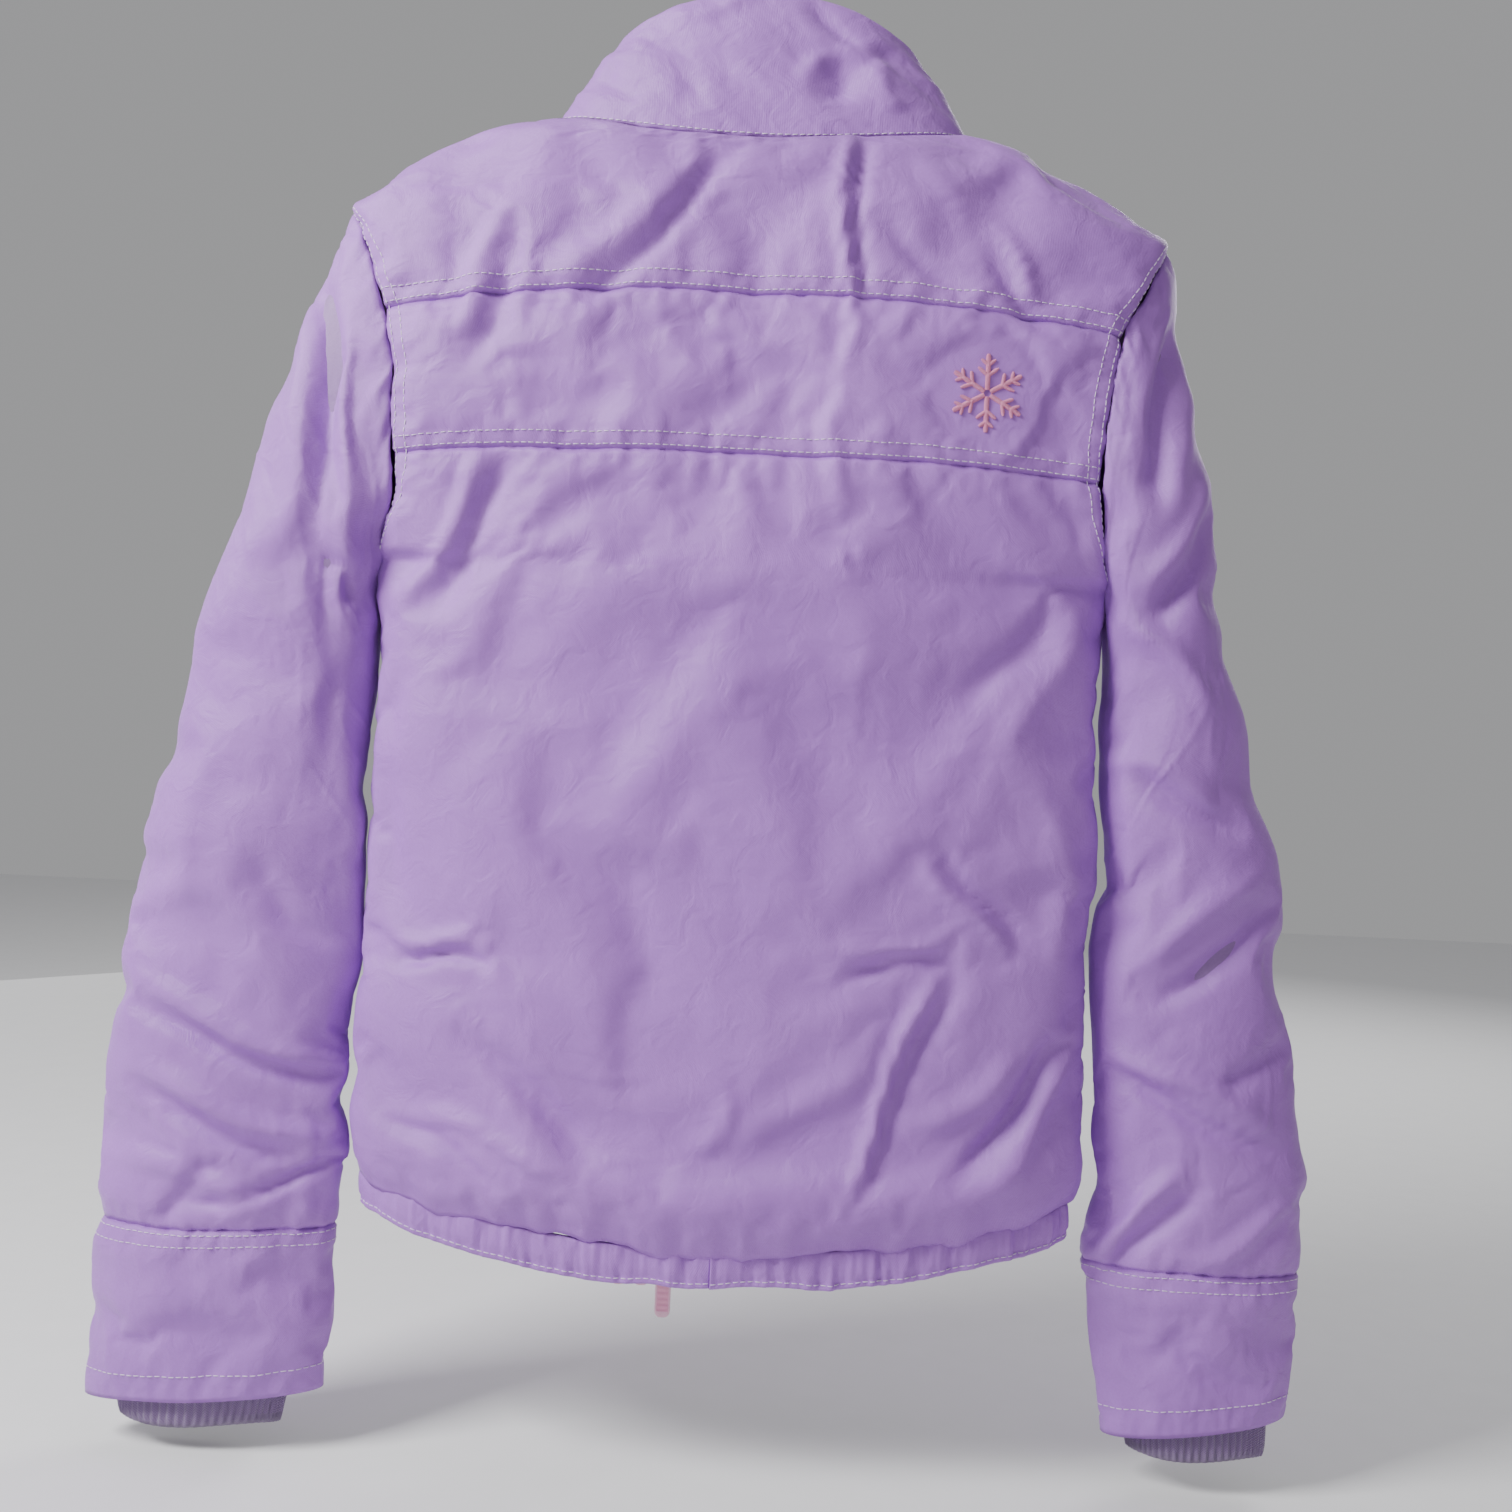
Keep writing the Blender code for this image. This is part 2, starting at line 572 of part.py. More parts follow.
def make_puller(name, centre, length, rubber):
    """A flat rubber pull that hangs down, with a knuckle round the slider's bar."""
    pivot = np.array([centre[0], centre[1] + BAR_OFFSET[0], centre[2] + BAR_OFFSET[1]])
    narrow, tall = KNUCKLE_HALF
    wide = PULLER_HALF_WIDTH
    side = [(narrow, -tall + 0.5), (narrow, -7.0), (wide, -11.0), (wide, -length + 3.0), (wide - 2.4, -length)]
    outline = side + [(-a, b) for a, b in reversed(side)]
    placed = [(pivot[0] + a, pivot[2] + b) for a, b in outline]
    half = PULLER_THICKNESS / 2
    puller = extrusion(name, placed, "y", pivot[1] - half, pivot[1] + half, rubber, pivot)
    knuckle, hole = np.array([narrow, tall, tall]), np.array([2 * narrow, KNUCKLE_HOLE, KNUCKLE_HOLE])
    combine(puller, block("knuckle", pivot - knuckle, pivot + knuckle, rubber, pivot), "UNION")
    combine(puller, block("hole", pivot - hole, pivot + hole, rubber, pivot), "DIFFERENCE")
    puller.data.materials.clear()
    puller.data.materials.append(rubber)


def make_front_slider(number, hardware, rubber):
    """A slider whose channel is clear of the coil and tape all the way up."""
    which = ZIPS[number]
    x, bottom = chain_x("left", number), ZIP_BOTTOM[which] + 1.0
    wide = SLIDER_HALF_WIDTH
    coil_x, coil_y = COIL_SIZE[0] / 2 + GAP, COIL_SIZE[1] / 2 + GAP
    slot = TAPE_THICKNESS / 2 + GAP
    outline = [(-wide, -2.6), (wide, -2.6), (wide, -slot), (coil_x, -slot), (coil_x, -coil_y),
               (-coil_x, -coil_y), (-coil_x, coil_y), (coil_x, coil_y), (coil_x, slot),
               (wide, slot), (wide, 2.3), (-wide, 2.3)]
    placed = [(x + a, TAPE_Y + b) for a, b in outline]
    origin = np.array([x, TAPE_Y, bottom])
    slider = extrusion(f"{which}_zip_slider", placed, "z", bottom, bottom + SLIDER_HEIGHT, hardware, origin)
    add_lugs(slider, origin, TAPE_Y - 2.6, hardware, origin)
    make_puller(f"{which}_zip_puller", origin, PULLER_LENGTH, rubber)


def make_front_zips(fabric, hardware, rubber):
    """The three separating zips, open, with their sliders parked at the bottom."""
    for number in range(len(ZIPS)):
        for side in SIDES:
            make_zip_half(side, number, fabric, hardware)
        make_front_slider(number, hardware, rubber)


def make_pockets(fabric, hardware, rubber):
    """The closed hand pocket zips, their sliders and pullers."""
    for side, sign in SIDES.items():
        x = sign * POCKET_X
        half, proud = POCKET_CHAIN
        thin = TAPE_THICKNESS / 2
        outline = [(-POCKET_TAPE_HALF, -thin), (-half, -thin), (-half, -thin - proud), (half, -thin - proud),
                   (half, -thin), (POCKET_TAPE_HALF, -thin), (POCKET_TAPE_HALF, thin),
                   (-POCKET_TAPE_HALF, thin)]
        placed = [(x + a, POCKET_TAPE_Y + b) for a, b in outline]
        extrusion(f"{side}_pocket_zip", placed, "z", *POCKET_Z, fabric)
        top = -thin - proud - GAP
        near, far = half + GAP, half + GAP + 1.3
        low = -thin - GAP
        profile = [(-far, top - 1.0), (far, top - 1.0), (far, low), (near, low), (near, top),
                   (-near, top), (-near, low), (-far, low)]
        placed = [(x + a, POCKET_TAPE_Y + b) for a, b in profile]
        origin = np.array([x, POCKET_TAPE_Y + top + 1.6, POCKET_SLIDER_BOTTOM])
        end = POCKET_SLIDER_BOTTOM + SLIDER_HEIGHT
        slider = extrusion(f"{side}_pocket_slider", placed, "z", POCKET_SLIDER_BOTTOM, end, hardware, origin)
        add_lugs(slider, origin, POCKET_TAPE_Y + top - 1.0, hardware, origin)
        make_puller(f"{side}_pocket_puller", origin, POCKET_PULLER_LENGTH, rubber)


def make_hanger_loop(fabric):
    """A tape loop at the back of the neck, pulled up into an arch by its hook."""
    steps = 12
    path = []
    for i in range(steps + 1):
        turn = math.pi * i / steps
        rise = math.sin(turn) ** 0.8
        x = -LOOP_HALF_SPAN * math.cos(turn)
        y = LOOP_END[0] + (LOOP_APEX[0] - LOOP_END[0]) * rise
        path.append((x, y, LOOP_END[1] + (LOOP_APEX[1] - LOOP_END[1]) * rise))
    path = np.array(path)
    points = []
    for i, spot in enumerate(path):
        run = path[min(i + 1, steps)] - path[max(i - 1, 0)]
        normal = np.array([-run[2], 0.0, run[0]])
        normal *= LOOP_THICKNESS / 2 / np.linalg.norm(normal)
        half = np.array([0.0, LOOP_WIDTH / 2, 0.0])
        points += [spot + normal + half, spot + normal - half, spot - normal - half, spot - normal + half]
    faces = [(0, 1, 2, 3), tuple(4 * steps + i for i in (3, 2, 1, 0))]
    for s in range(steps):
        faces += [(4 * s + i, 4 * s + (i + 1) % 4, 4 * s + 4 + (i + 1) % 4, 4 * s + 4 + i) for i in range(4)]
    make_object("hanger_loop", points, faces, fabric)


def make_label(fabric):
    """A blank woven label on the lining below the neck."""
    half, tall = LABEL_SIZE[0] / 2, LABEL_SIZE[1]
    lining_y = min(body_point(row, half / 150.0, "back", LINING[1])[1] for row in (2.33, 2.67, 3.0))
    low = (-half, lining_y - 1.4, LABEL_Z)
    high = (half, lining_y - 0.6, LABEL_Z + tall)
    block("neck_label", low, high, fabric)


def back_face_y(x, z):
    """The depth of the body's back at a place seen from behind."""
    low, high = 0.0, 3.0
    for _ in range(40):
        row = (low + high) / 2
        spot = body_point(row, x / row_edge(row, "back", 0.0)[0], "back")
        if spot[2] < z:
            low = row
        else:
            high = row
    return spot[1]


def make_motif(thread):
    """A raised six-pointed snow crystal on the wearer's right shoulder blade."""
    rim = []
    for i in range(12):
        turn = math.tau * i / 12
        radius = MOTIF_RADII[i % 2]
        rim.append((MOTIF_CENTRE[0] + radius * math.sin(turn), MOTIF_CENTRE[1] + radius * math.cos(turn)))
    flat = [MOTIF_CENTRE] + rim
    points = []
    for lift in (MOTIF_CLEARANCE, MOTIF_CLEARANCE + MOTIF_THICKNESS):
        points += [(x, back_face_y(x, z) + lift, z) for x, z in flat]
    second = len(flat)
    faces = []
    for i in range(12):
        a, b = 1 + i, 1 + (i + 1) % 12
        faces += [(0, b, a), (second, second + a, second + b)]
        faces += [(a, b, second + b), (a, second + b, second + a)]
    make_object("back_embroidery", points, faces, thread)


def main():
    for old in list(bpy.data.objects):
        bpy.data.objects.remove(old, do_unlink=True)
    shell = make_material("shell_nylon", (0.40, 0.26, 0.50), 0.45)
    wadding = make_material("wadding", (0.85, 0.85, 0.83), 0.95)
    lining = make_material("lining", (0.22, 0.16, 0.28), 0.6)
    knit = make_material("rib_knit", (0.24, 0.17, 0.32), 0.9)
    tape = make_material("zip_tape", (0.30, 0.20, 0.38), 0.7)
    hardware = make_material("zip_metal", (0.55, 0.55, 0.57), 0.3, 1.0)
    pink = make_material("pull_rubber", (0.80, 0.30, 0.42), 0.5)
    elastic = make_material("elastic", (0.08, 0.08, 0.09), 0.8)
    thread = make_material("pink_thread", (0.75, 0.36, 0.50), 0.5)
    make_body(shell, wadding, lining, lining)
    make_sleeves(shell, wadding, lining, knit)
    make_collar({"collar_outer": shell, "collar_wadding": wadding, "collar_facing": lining})
    make_hem(shell, elastic)
    make_front_zips(tape, hardware, pink)
    make_pockets(tape, hardware, pink)
    make_hanger_loop(lining)
    make_label(lining)
    make_motif(thread)


main()
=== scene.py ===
"""Looks of the ski jacket: creased nylon shell, gathered hem, knitted cuffs, zips, pulls and embroidery.

Garment millimetres are used for shapes: +X the wearer's left, -Y the front, +Z up, shoulder neck points at
z = 0. They become world metres by taking away the hang point, where the hanger loop rests on its hook.
"""

import math

import bmesh
import bpy
import numpy as np
from mathutils import Matrix, Vector

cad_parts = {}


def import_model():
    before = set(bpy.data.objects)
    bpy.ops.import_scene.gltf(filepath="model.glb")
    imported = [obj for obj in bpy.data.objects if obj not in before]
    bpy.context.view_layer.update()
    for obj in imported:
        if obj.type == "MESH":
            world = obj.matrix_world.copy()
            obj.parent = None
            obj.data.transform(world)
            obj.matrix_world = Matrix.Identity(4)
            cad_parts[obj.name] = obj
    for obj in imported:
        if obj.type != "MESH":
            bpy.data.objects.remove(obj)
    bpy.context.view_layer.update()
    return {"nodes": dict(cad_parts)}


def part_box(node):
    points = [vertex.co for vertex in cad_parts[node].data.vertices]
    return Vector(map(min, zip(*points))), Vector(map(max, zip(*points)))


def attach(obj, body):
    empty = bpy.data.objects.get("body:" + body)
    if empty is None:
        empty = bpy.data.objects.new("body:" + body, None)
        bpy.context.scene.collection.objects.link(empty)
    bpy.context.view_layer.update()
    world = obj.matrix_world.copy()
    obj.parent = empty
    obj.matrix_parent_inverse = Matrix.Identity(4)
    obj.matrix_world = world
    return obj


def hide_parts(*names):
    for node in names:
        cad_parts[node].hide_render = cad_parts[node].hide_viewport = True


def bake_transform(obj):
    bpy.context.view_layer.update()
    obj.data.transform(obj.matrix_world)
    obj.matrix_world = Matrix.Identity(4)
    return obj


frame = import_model()
MM = 0.001
SIDES = {"left": 1, "right": -1}


def node_box(node):
    """A CAD node's corners in millimetres, still measured from the hang point."""
    low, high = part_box(node)
    return np.array(low) / MM, np.array(high) / MM


# Driving sizes, read from the frame
BODY_LOW, BODY_HIGH = node_box("back_lower_panel")
YOKE_LOW, YOKE_HIGH = node_box("back_yoke")
HALF_WIDTH = (BODY_HIGH[0] - BODY_LOW[0]) / 2
BACK_DEPTH = BODY_HIGH[1] - YOKE_LOW[1]
SHOULDER_X = YOKE_HIGH[0]
HANG = np.array([0.0, -YOKE_LOW[1] + 0.2, -YOKE_HIGH[2] - 0.2])
WAIST_Z = -562.0
WAIST_DROP_BACK = -24.0
WAIST_DROP_FRONT = -22.0
UNDERARM_Z = -238.0
SHOULDER_Z = -50.0
RIDGE_X = [SHOULDER_X, 200.0, 176.0, 146.0, 110.0]
RIDGE_Z = [SHOULDER_Z, -38.0, -23.0, -10.0, 0.0]
NECK_HALF_WIDTH = 110.0
BACK_DEPTH_ROWS = [0.0, 0.6, 1.0, 1.6, 2.0, 3.0]
BACK_DEPTHS = [BACK_DEPTH, BACK_DEPTH, BACK_DEPTH - 2, BACK_DEPTH - 5, BACK_DEPTH - 7, BACK_DEPTH - 12]
BACK_ARCH_Z = [-238.0, -183.0, -108.0, -50.0]
BACK_ARCHES = [0.0, 4.0, 12.0, 10.0]
BACK_NECK_DROP = -15.0
FRONT_DEPTH = 45.0
FRONT_ARCH_SHOULDER = -70.0
FRONT_NECK_DROP = -80.0
BACK_ROUNDNESS = 2.4
FRONT_ROUNDNESS = 5.0
ROW_ROUNDNESS = 2.6
FRONT_EDGE = {"left": 24.0, "right": 44.0}
ARMHOLE_BOW = 20.0
ARMHOLE_EASE = 80.0
ARMHOLE_DEPTH = {"back": 34.0, "front": 30.0}
YOKE_ROW = 2.0 - 67.5 / 180.0
MIDDLE_ROW = 2.0 - 114.5 / 180.0
FRONT_YOKE_ROW = 2.0 - 45.0 / 180.0
SLEEVE_OUTER = {
    "left": [(219, -50), (252, -130), (286, -262), (314, -400), (330, -520), (330, -595)],
    "right": [(219, -50), (236, -130), (262, -262), (293, -390), (311, -516), (318, -597)],
}
SLEEVE_INNER = [(193.5, -238), (199, -290), (199, -380), (200, -460), (201, -530), (204, -595)]
CUFF_OUTER = {"left": (335, -691), "right": (312, -674)}
CUFF_INNER = {"left": (206, -684), "right": (212, -688)}
SLEEVE_DEPTH_START = {"back": 34.0, "front": 30.0}
SLEEVE_DEPTH_END = 24.0
SLEEVE_BOW_END = 0.36
CUFF_DEPTH = 20.0
RIB_OUTER = {"left": [(322, -640), (316, -702)], "right": [(304, -638), (302, -696)]}
RIB_INNER = {"left": [(217, -640), (228, -702)], "right": [(219, -638), (227, -696)]}
RIB_DEPTH = (14.0, 15.5)
COLLAR_TOP_HALF_WIDTH = 78.0
COLLAR_TOP_BACK = (22.0, 69.0)
COLLAR_TOP_SIDE_Z = 48.0
COLLAR_TOP_FRONT_Z = -15.0
COLLAR_THICKNESS = 8.4
ZIP_ZONE = 84.0
HEM_HEIGHT = 20.0
LINING_INSET = 6.7
LINING_END = 1.42
POCKET_X = 118.0
POCKET_Z = (-546.0, -396.0)
MOTIF_CENTRE = (-121.0, -142.0)
SHELL_THICKNESS = 0.9

# Steps of the grids that the cloth is simulated on, about 5 mm each way; the shown mesh is twice as fine
BODY_ROWS = 124
BACK_COLUMNS = 80
FRONT_COLUMNS = 40
SLEEVE_RINGS = 96
SLEEVE_AROUND = 76

# The cloth
CLOTH_FRAMES = 26
CLOTH_GROWTH = 0.016
CLOTH_HOLD = 0.05
CLOTH_REACH = (-2.6, 3.4)
CLOTH_SLIDE = 3.0
FOLD_STRENGTH = 1.25


def world(points):
    """World metres of garment millimetres."""
    return (np.asarray(points, float) - HANG) * MM


def garment_box(node):
    """A CAD node's corners in garment millimetres."""
    low, high = node_box(node)
    return low + HANG, high + HANG


def run_length(line):
    """Distance along a line at each of its points."""
    return np.concatenate([[0.0], np.cumsum(np.linalg.norm(np.diff(line, axis=0), axis=1))])


def resample(line, length, at):
    """Points of a line at given distances along it."""
    return np.stack([np.interp(at, length, line[:, i]) for i in range(line.shape[1])], axis=1)


# ---------------------------------------------------------------- numbers that look random but are seeded
def lattice_noise(x, y, seed):
    """Smooth noise from -1 to 1 with features one unit wide."""
    table = np.random.default_rng(seed).uniform(-1, 1, (64, 64))
    cell_x, cell_y = np.floor(x).astype(int), np.floor(y).astype(int)
    along, up = x - cell_x, y - cell_y
    along, up = along * along * (3 - 2 * along), up * up * (3 - 2 * up)
    a, b = table[cell_x % 64, cell_y % 64], table[(cell_x + 1) % 64, cell_y % 64]
    c, d = table[cell_x % 64, (cell_y + 1) % 64], table[(cell_x + 1) % 64, (cell_y + 1) % 64]
    return (a * (1 - along) + b * along) * (1 - up) + (c * (1 - along) + d * along) * up


def layered_noise(x, y, seed, layers=3):
    """Noise with finer and weaker layers added."""
    total = 0.0
    for i in range(layers):
        total = total + lattice_noise(x * 2**i, y * 2**i, seed + i) * 0.55**i
    return total


# ---------------------------------------------------------------- base shape of the garment
def armhole_point(angle, face, inset):
    """A point of the armhole seam; angle is 0 at the shoulder and 180 under the arm."""
    turn = math.radians(angle)
    middle_x, middle_z = (SHOULDER_X + HALF_WIDTH) / 2, (SHOULDER_Z + UNDERARM_Z) / 2
    reach_x, reach_z = (SHOULDER_X - HALF_WIDTH) / 2, (SHOULDER_Z - UNDERARM_Z) / 2 - inset
    x = middle_x + reach_x * math.cos(turn) - ARMHOLE_BOW * math.sin(turn) ** 2
    return x, (ARMHOLE_DEPTH[face] - inset) * math.sin(turn), middle_z + reach_z * math.cos(turn)


def row_edge(row, face, inset):
    """Where a body row ends: half width, depth and height."""
    if row <= 1.0:
        low, high = WAIST_Z, UNDERARM_Z + inset
        turn_in = inset * min(1.0, (1.0 - row) / 0.035)
        return HALF_WIDTH - turn_in, 0.0, low + (high - low) * row
    if row <= 2.0:
        return armhole_point(180.0 * (2.0 - row), face, inset)
    place = (row - 2.0) * (len(RIDGE_X) - 1)
    steps = range(len(RIDGE_X))
    return float(np.interp(place, steps, RIDGE_X)), 0.0, float(np.interp(place, steps, RIDGE_Z)) - inset


def row_arch(row, face, edge_z):
    """How much higher a row lies at its centre than at its edge."""
    if row <= 1.0:
        return (WAIST_DROP_BACK if face == "back" else WAIST_DROP_FRONT) * (1.0 - row) ** 1.5
    if face == "back":
        arch = float(np.interp(edge_z, BACK_ARCH_Z, BACK_ARCHES))
        return arch if row <= 2.0 else arch + (BACK_NECK_DROP - arch) * (row - 2.0)
    climb = min(1.0, (edge_z - UNDERARM_Z) / (SHOULDER_Z - UNDERARM_Z))
    if row <= 2.0:
        return FRONT_ARCH_SHOULDER * climb
    return FRONT_ARCH_SHOULDER + (FRONT_NECK_DROP - FRONT_ARCH_SHOULDER) * (row - 2.0)


def body_row(row, face, inset, first, last, count):
    """One row of the body between two shares of its half width, with even steps along the cloth."""
    half, edge_y, edge_z = row_edge(row, face, inset)
    roundness = BACK_ROUNDNESS if face == "back" else FRONT_ROUNDNESS
    fine = np.sin(np.linspace(math.asin(max(-1.0, first)), math.asin(min(1.0, last)), 160))
    share = np.minimum(1.0, np.abs(fine))
    full = (1.0 - share**roundness) ** (1.0 / roundness)
    soft = 1.0 - share**ROW_ROUNDNESS
    gap = min(abs(edge_z - UNDERARM_Z), abs(SHOULDER_Z - edge_z)) / ARMHOLE_EASE
    ease = min(1.0, gap) ** 2 * (3.0 - 2.0 * min(1.0, gap))
    height = full + (soft - full) * min(ease, edge_y / (ARMHOLE_DEPTH[face] - inset))
    depth = FRONT_DEPTH if face == "front" else float(np.interp(row, BACK_DEPTH_ROWS, BACK_DEPTHS))
    y = (edge_y + (depth - inset - edge_y) * height) * (1 if face == "back" else -1)
    z = edge_z + row_arch(row, face, edge_z) * (1.0 - share**2)
    line = np.stack([half * fine, y, z], axis=1)
    length = run_length(line)
    return resample(line, length, np.linspace(0.0, length[-1], count))


def body_row_places():
    """Row numbers with even steps in height, with seams exactly on a step."""
    marks = [0.0, 1.0, MIDDLE_ROW, YOKE_ROW, FRONT_YOKE_ROW, 2.0, 3.0]
    lengths = [324.0, 58.0, 75.0, 32.0, 28.0, 60.0]
    shares = np.array(lengths) / sum(lengths)
    counts = np.maximum(2, np.round(shares * BODY_ROWS)).astype(int)
    rows = [0.0]
    for low, high, count in zip(marks[:-1], marks[1:], counts):
        if 1.0 <= low < 2.0:
            heights = np.cos(np.pi * (2.0 - np.array([low, high])))
            steps = 2.0 - np.arccos(np.linspace(*heights, count + 1)) / np.pi
            rows += list(steps[1:-1]) + [high]
        else:
            rows += list(np.linspace(low, high, count + 1)[1:])
    return rows


ROWS = body_row_places()


def body_grid(face, side=None, inset=0.0):
    """Grid of the back, or of one front from its opening to the side."""
    lines = []
    for row in ROWS:
        if face == "back":
            lines.append(body_row(row, face, inset, -1.0, 1.0, BACK_COLUMNS + 1))
            continue
        start = FRONT_EDGE[side] / row_edge(row, face, inset)[0]
        line = body_row(row, face, inset, start, 1.0, FRONT_COLUMNS + 1)
        line[:, 0] *= SIDES[side]
        lines.append(line)
    return np.array(lines)


def outline_points(points, places, inset, inward):
    """Points along a smooth outline at shares of its length, moved in by an inset."""
    points = np.array(points, float)
    knots = np.arange(len(points))
    dense = np.linspace(0, len(points) - 1, 200)
    smooth = np.stack([catmull(points[:, i], knots, dense) for i in range(2)], axis=1)
    length = run_length(smooth)
    here = np.asarray(places) * length[-1]
    spot = resample(smooth, length, here)
    run = resample(np.gradient(smooth, axis=0), length, here)
    run /= np.linalg.norm(run, axis=1)[:, None]
    return spot + inset * inward * np.stack([run[:, 1], -run[:, 0]], axis=1)


def catmull(values, knots, at):
    """Smooth interpolation through values at whole-numbered knots."""
    padded = np.concatenate([[2 * values[0] - values[1]], values, [2 * values[-1] - values[-2]]])
    cell = np.minimum(at.astype(int), len(knots) - 2)
    t = at - cell
    p = [padded[cell + i] for i in range(4)]
    return p[1] + 0.5 * t * (p[2] - p[0] + t * (2 * p[0] - 5 * p[1] + 4 * p[2] - p[3]
                                                + t * (3 * (p[1] - p[2]) + p[3] - p[0])))


def sleeve_grid(side, places, around, inset=0.0):
    """Rings of a sleeve; places run from 0 at the armhole to 1 at the cuff seam and 2 at the cuff's hem."""
    sign = SIDES[side]
    places = np.asarray(places, float)
    upper = np.minimum(places, 1.0)
    outer = outline_points(SLEEVE_OUTER[side], upper, inset, 1.0)
    inner = outline_points(SLEEVE_INNER, upper, inset, -1.0)
    into = np.maximum(places - 1.0, 0.0)[:, None]
    outer = outer + into * (np.array(CUFF_OUTER[side]) - SLEEVE_OUTER[side][-1])
    inner = inner + into * (np.array(CUFF_INNER[side]) - SLEEVE_INNER[-1])
    turns = np.linspace(0.0, math.tau, around, endpoint=False)
    rings = []
    for i, place in enumerate(places):
        middle, reach = (outer[i] + inner[i]) / 2, (outer[i] - inner[i]) / 2
        fine = np.linspace(0.0, math.tau, 361)
        start = np.where(np.sin(fine) >= 0, SLEEVE_DEPTH_START["back"], SLEEVE_DEPTH_START["front"])
        depth = start + (SLEEVE_DEPTH_END - start) * min(place, 1.0)
        depth = depth + (CUFF_DEPTH - SLEEVE_DEPTH_END) * max(0.0, place - 1.0)
        bow = ARMHOLE_BOW * max(0.0, 1.0 - place / SLEEVE_BOW_END) ** 2
        x = middle[0] + reach[0] * np.cos(fine) - bow * np.sin(fine) ** 2
        y, z = (depth - inset) * np.sin(fine), middle[1] + reach[1] * np.cos(fine)
        ring = np.stack([sign * x, y, z], axis=1)
        length = run_length(ring)
        rings.append(resample(ring, length, turns / math.tau * length[-1]))
    return np.array(rings)


# ---------------------------------------------------------------- folds, in garment millimetres
# (x, z) to (x, z), half width, height (negative is a valley)
BACK_FOLDS = [
    (34, -30, 100, -96, 9, 3.4), (14, -26, 80, -98, 6, -2.6), (121, -71, 143, -138, 7, -2.4),
    (132, -66, 152, -120, 7, 2.0), (-44, -16, -46, -100, 4, 2.6), (-51, -16, -53, -100, 4, -2.2),
    (-46, -99, -47, -200, 7, 1.4), (-86, -26, -124, -78, 6, 2.4), (-102, -46, -151, -109, 5, -2.4),
    (-123, -55, -145, -94, 4, 2.2), (-64, -60, -108, -92, 5, -1.8), (120, -188, 160, -265, 7, -3.0),
    (134, -186, 172, -262, 6, 2.6), (105, -196, 132, -290, 9, 2.0), (171, -443, 122, -444, 4, -3.0),
    (176, -434, 130, -434, 4, 2.2), (-61, -438, -114, -432, 4, -3.2), (-58, -430, -112, -423, 5, 2.4),
    (-107, -442, -69, -540, 4, 3.6), (-114, -446, -78, -538, 5, -3.0), (-100, -384, -140, -426, 4, 2.8),
    (-107, -376, -147, -418, 4, -2.6), (-108, -518, -150, -484, 7, 3.0), (-127, -542, -170, -478, 6, -4.6),
    (-138, -548, -180, -486, 7, 3.4), (133, -474, 64, -540, 7, -3.6), (142, -470, 76, -542, 8, 2.8),
    (148, -523, 74, -546, 4, 2.6), (166, -529, 109, -554, 4, -2.6), (-11, -508, 10, -532, 6, 2.4),
    (-15, -528, -74, -485, 9, 2.6), (-160, -250, -120, -300, 8, -2.6),
    (-172, -262, -138, -330, 8, 2.2), (20, -300, 60, -380, 16, 1.8), (-30, -330, -20, -420, 18, 1.4),
    (60, -392, 30, -460, 10, -1.8), (-160, -350, -178, -440, 8, 2.4), (176, -300, 182, -420, 8, -2.2),
]
FRONT_FOLDS = [
    (60, -140, 150, -230, 8, 2.6), (80, -300, 150, -360, 9, -2.4), (70, -470, 150, -520, 8, 2.8),
    (90, -540, 160, -500, 7, -2.6), (150, -240, 110, -330, 9, 2.4), (160, -420, 176, -500, 7, -2.4),
    (75, -380, 100, -450, 9, 2.2), (100, -90, 150, -60, 8, -2.2), (66, -110, 76, -190, 7, 2.0),
]
SLEEVE_FOLDS = {
    "left": [
        (228, -96, 222, -215, 7, -5.5), (240, -92, 236, -230, 9, 3.0), (222, -215, 209, -330, 7, -4.6),
        (208, -108, 210, -262, 5, 2.6), (208, -262, 203, -420, 6, 2.6), (216, -238, 200, -262, 4, -3.4),
        (300, -470, 206, -503, 5, 3.0), (306, -482, 212, -512, 5, -3.2), (294, -515, 216, -545, 5, 3.0),
        (300, -528, 226, -556, 5, -2.8), (282, -584, 204, -560, 4, -3.0), (310, -556, 240, -580, 5, 2.8),
        (270, -330, 292, -430, 10, 1.8), (250, -400, 214, -440, 8, -2.2), (258, -560, 300, -590, 5, -2.4),
    ],
    "right": [
        (222, -100, 212, -190, 6, -4.2), (232, -96, 224, -200, 7, 3.0), (244, -170, 214, -236, 6, 3.0),
        (250, -186, 220, -252, 6, -3.0), (206, -250, 246, -296, 6, 2.8), (210, -330, 262, -362, 7, -3.0),
        (206, -320, 256, -350, 6, 2.6), (272, -380, 222, -432, 7, 2.8), (282, -404, 232, -452, 6, -3.0),
        (212, -480, 286, -512, 6, 3.0), (216, -496, 290, -530, 5, -2.8), (206, -592, 240, -542, 5, 4.0),
        (214, -598, 250, -550, 5, -3.6), (300, -560, 256, -590, 5, 2.6), (296, -470, 268, -500, 6, -2.4),
    ],
}


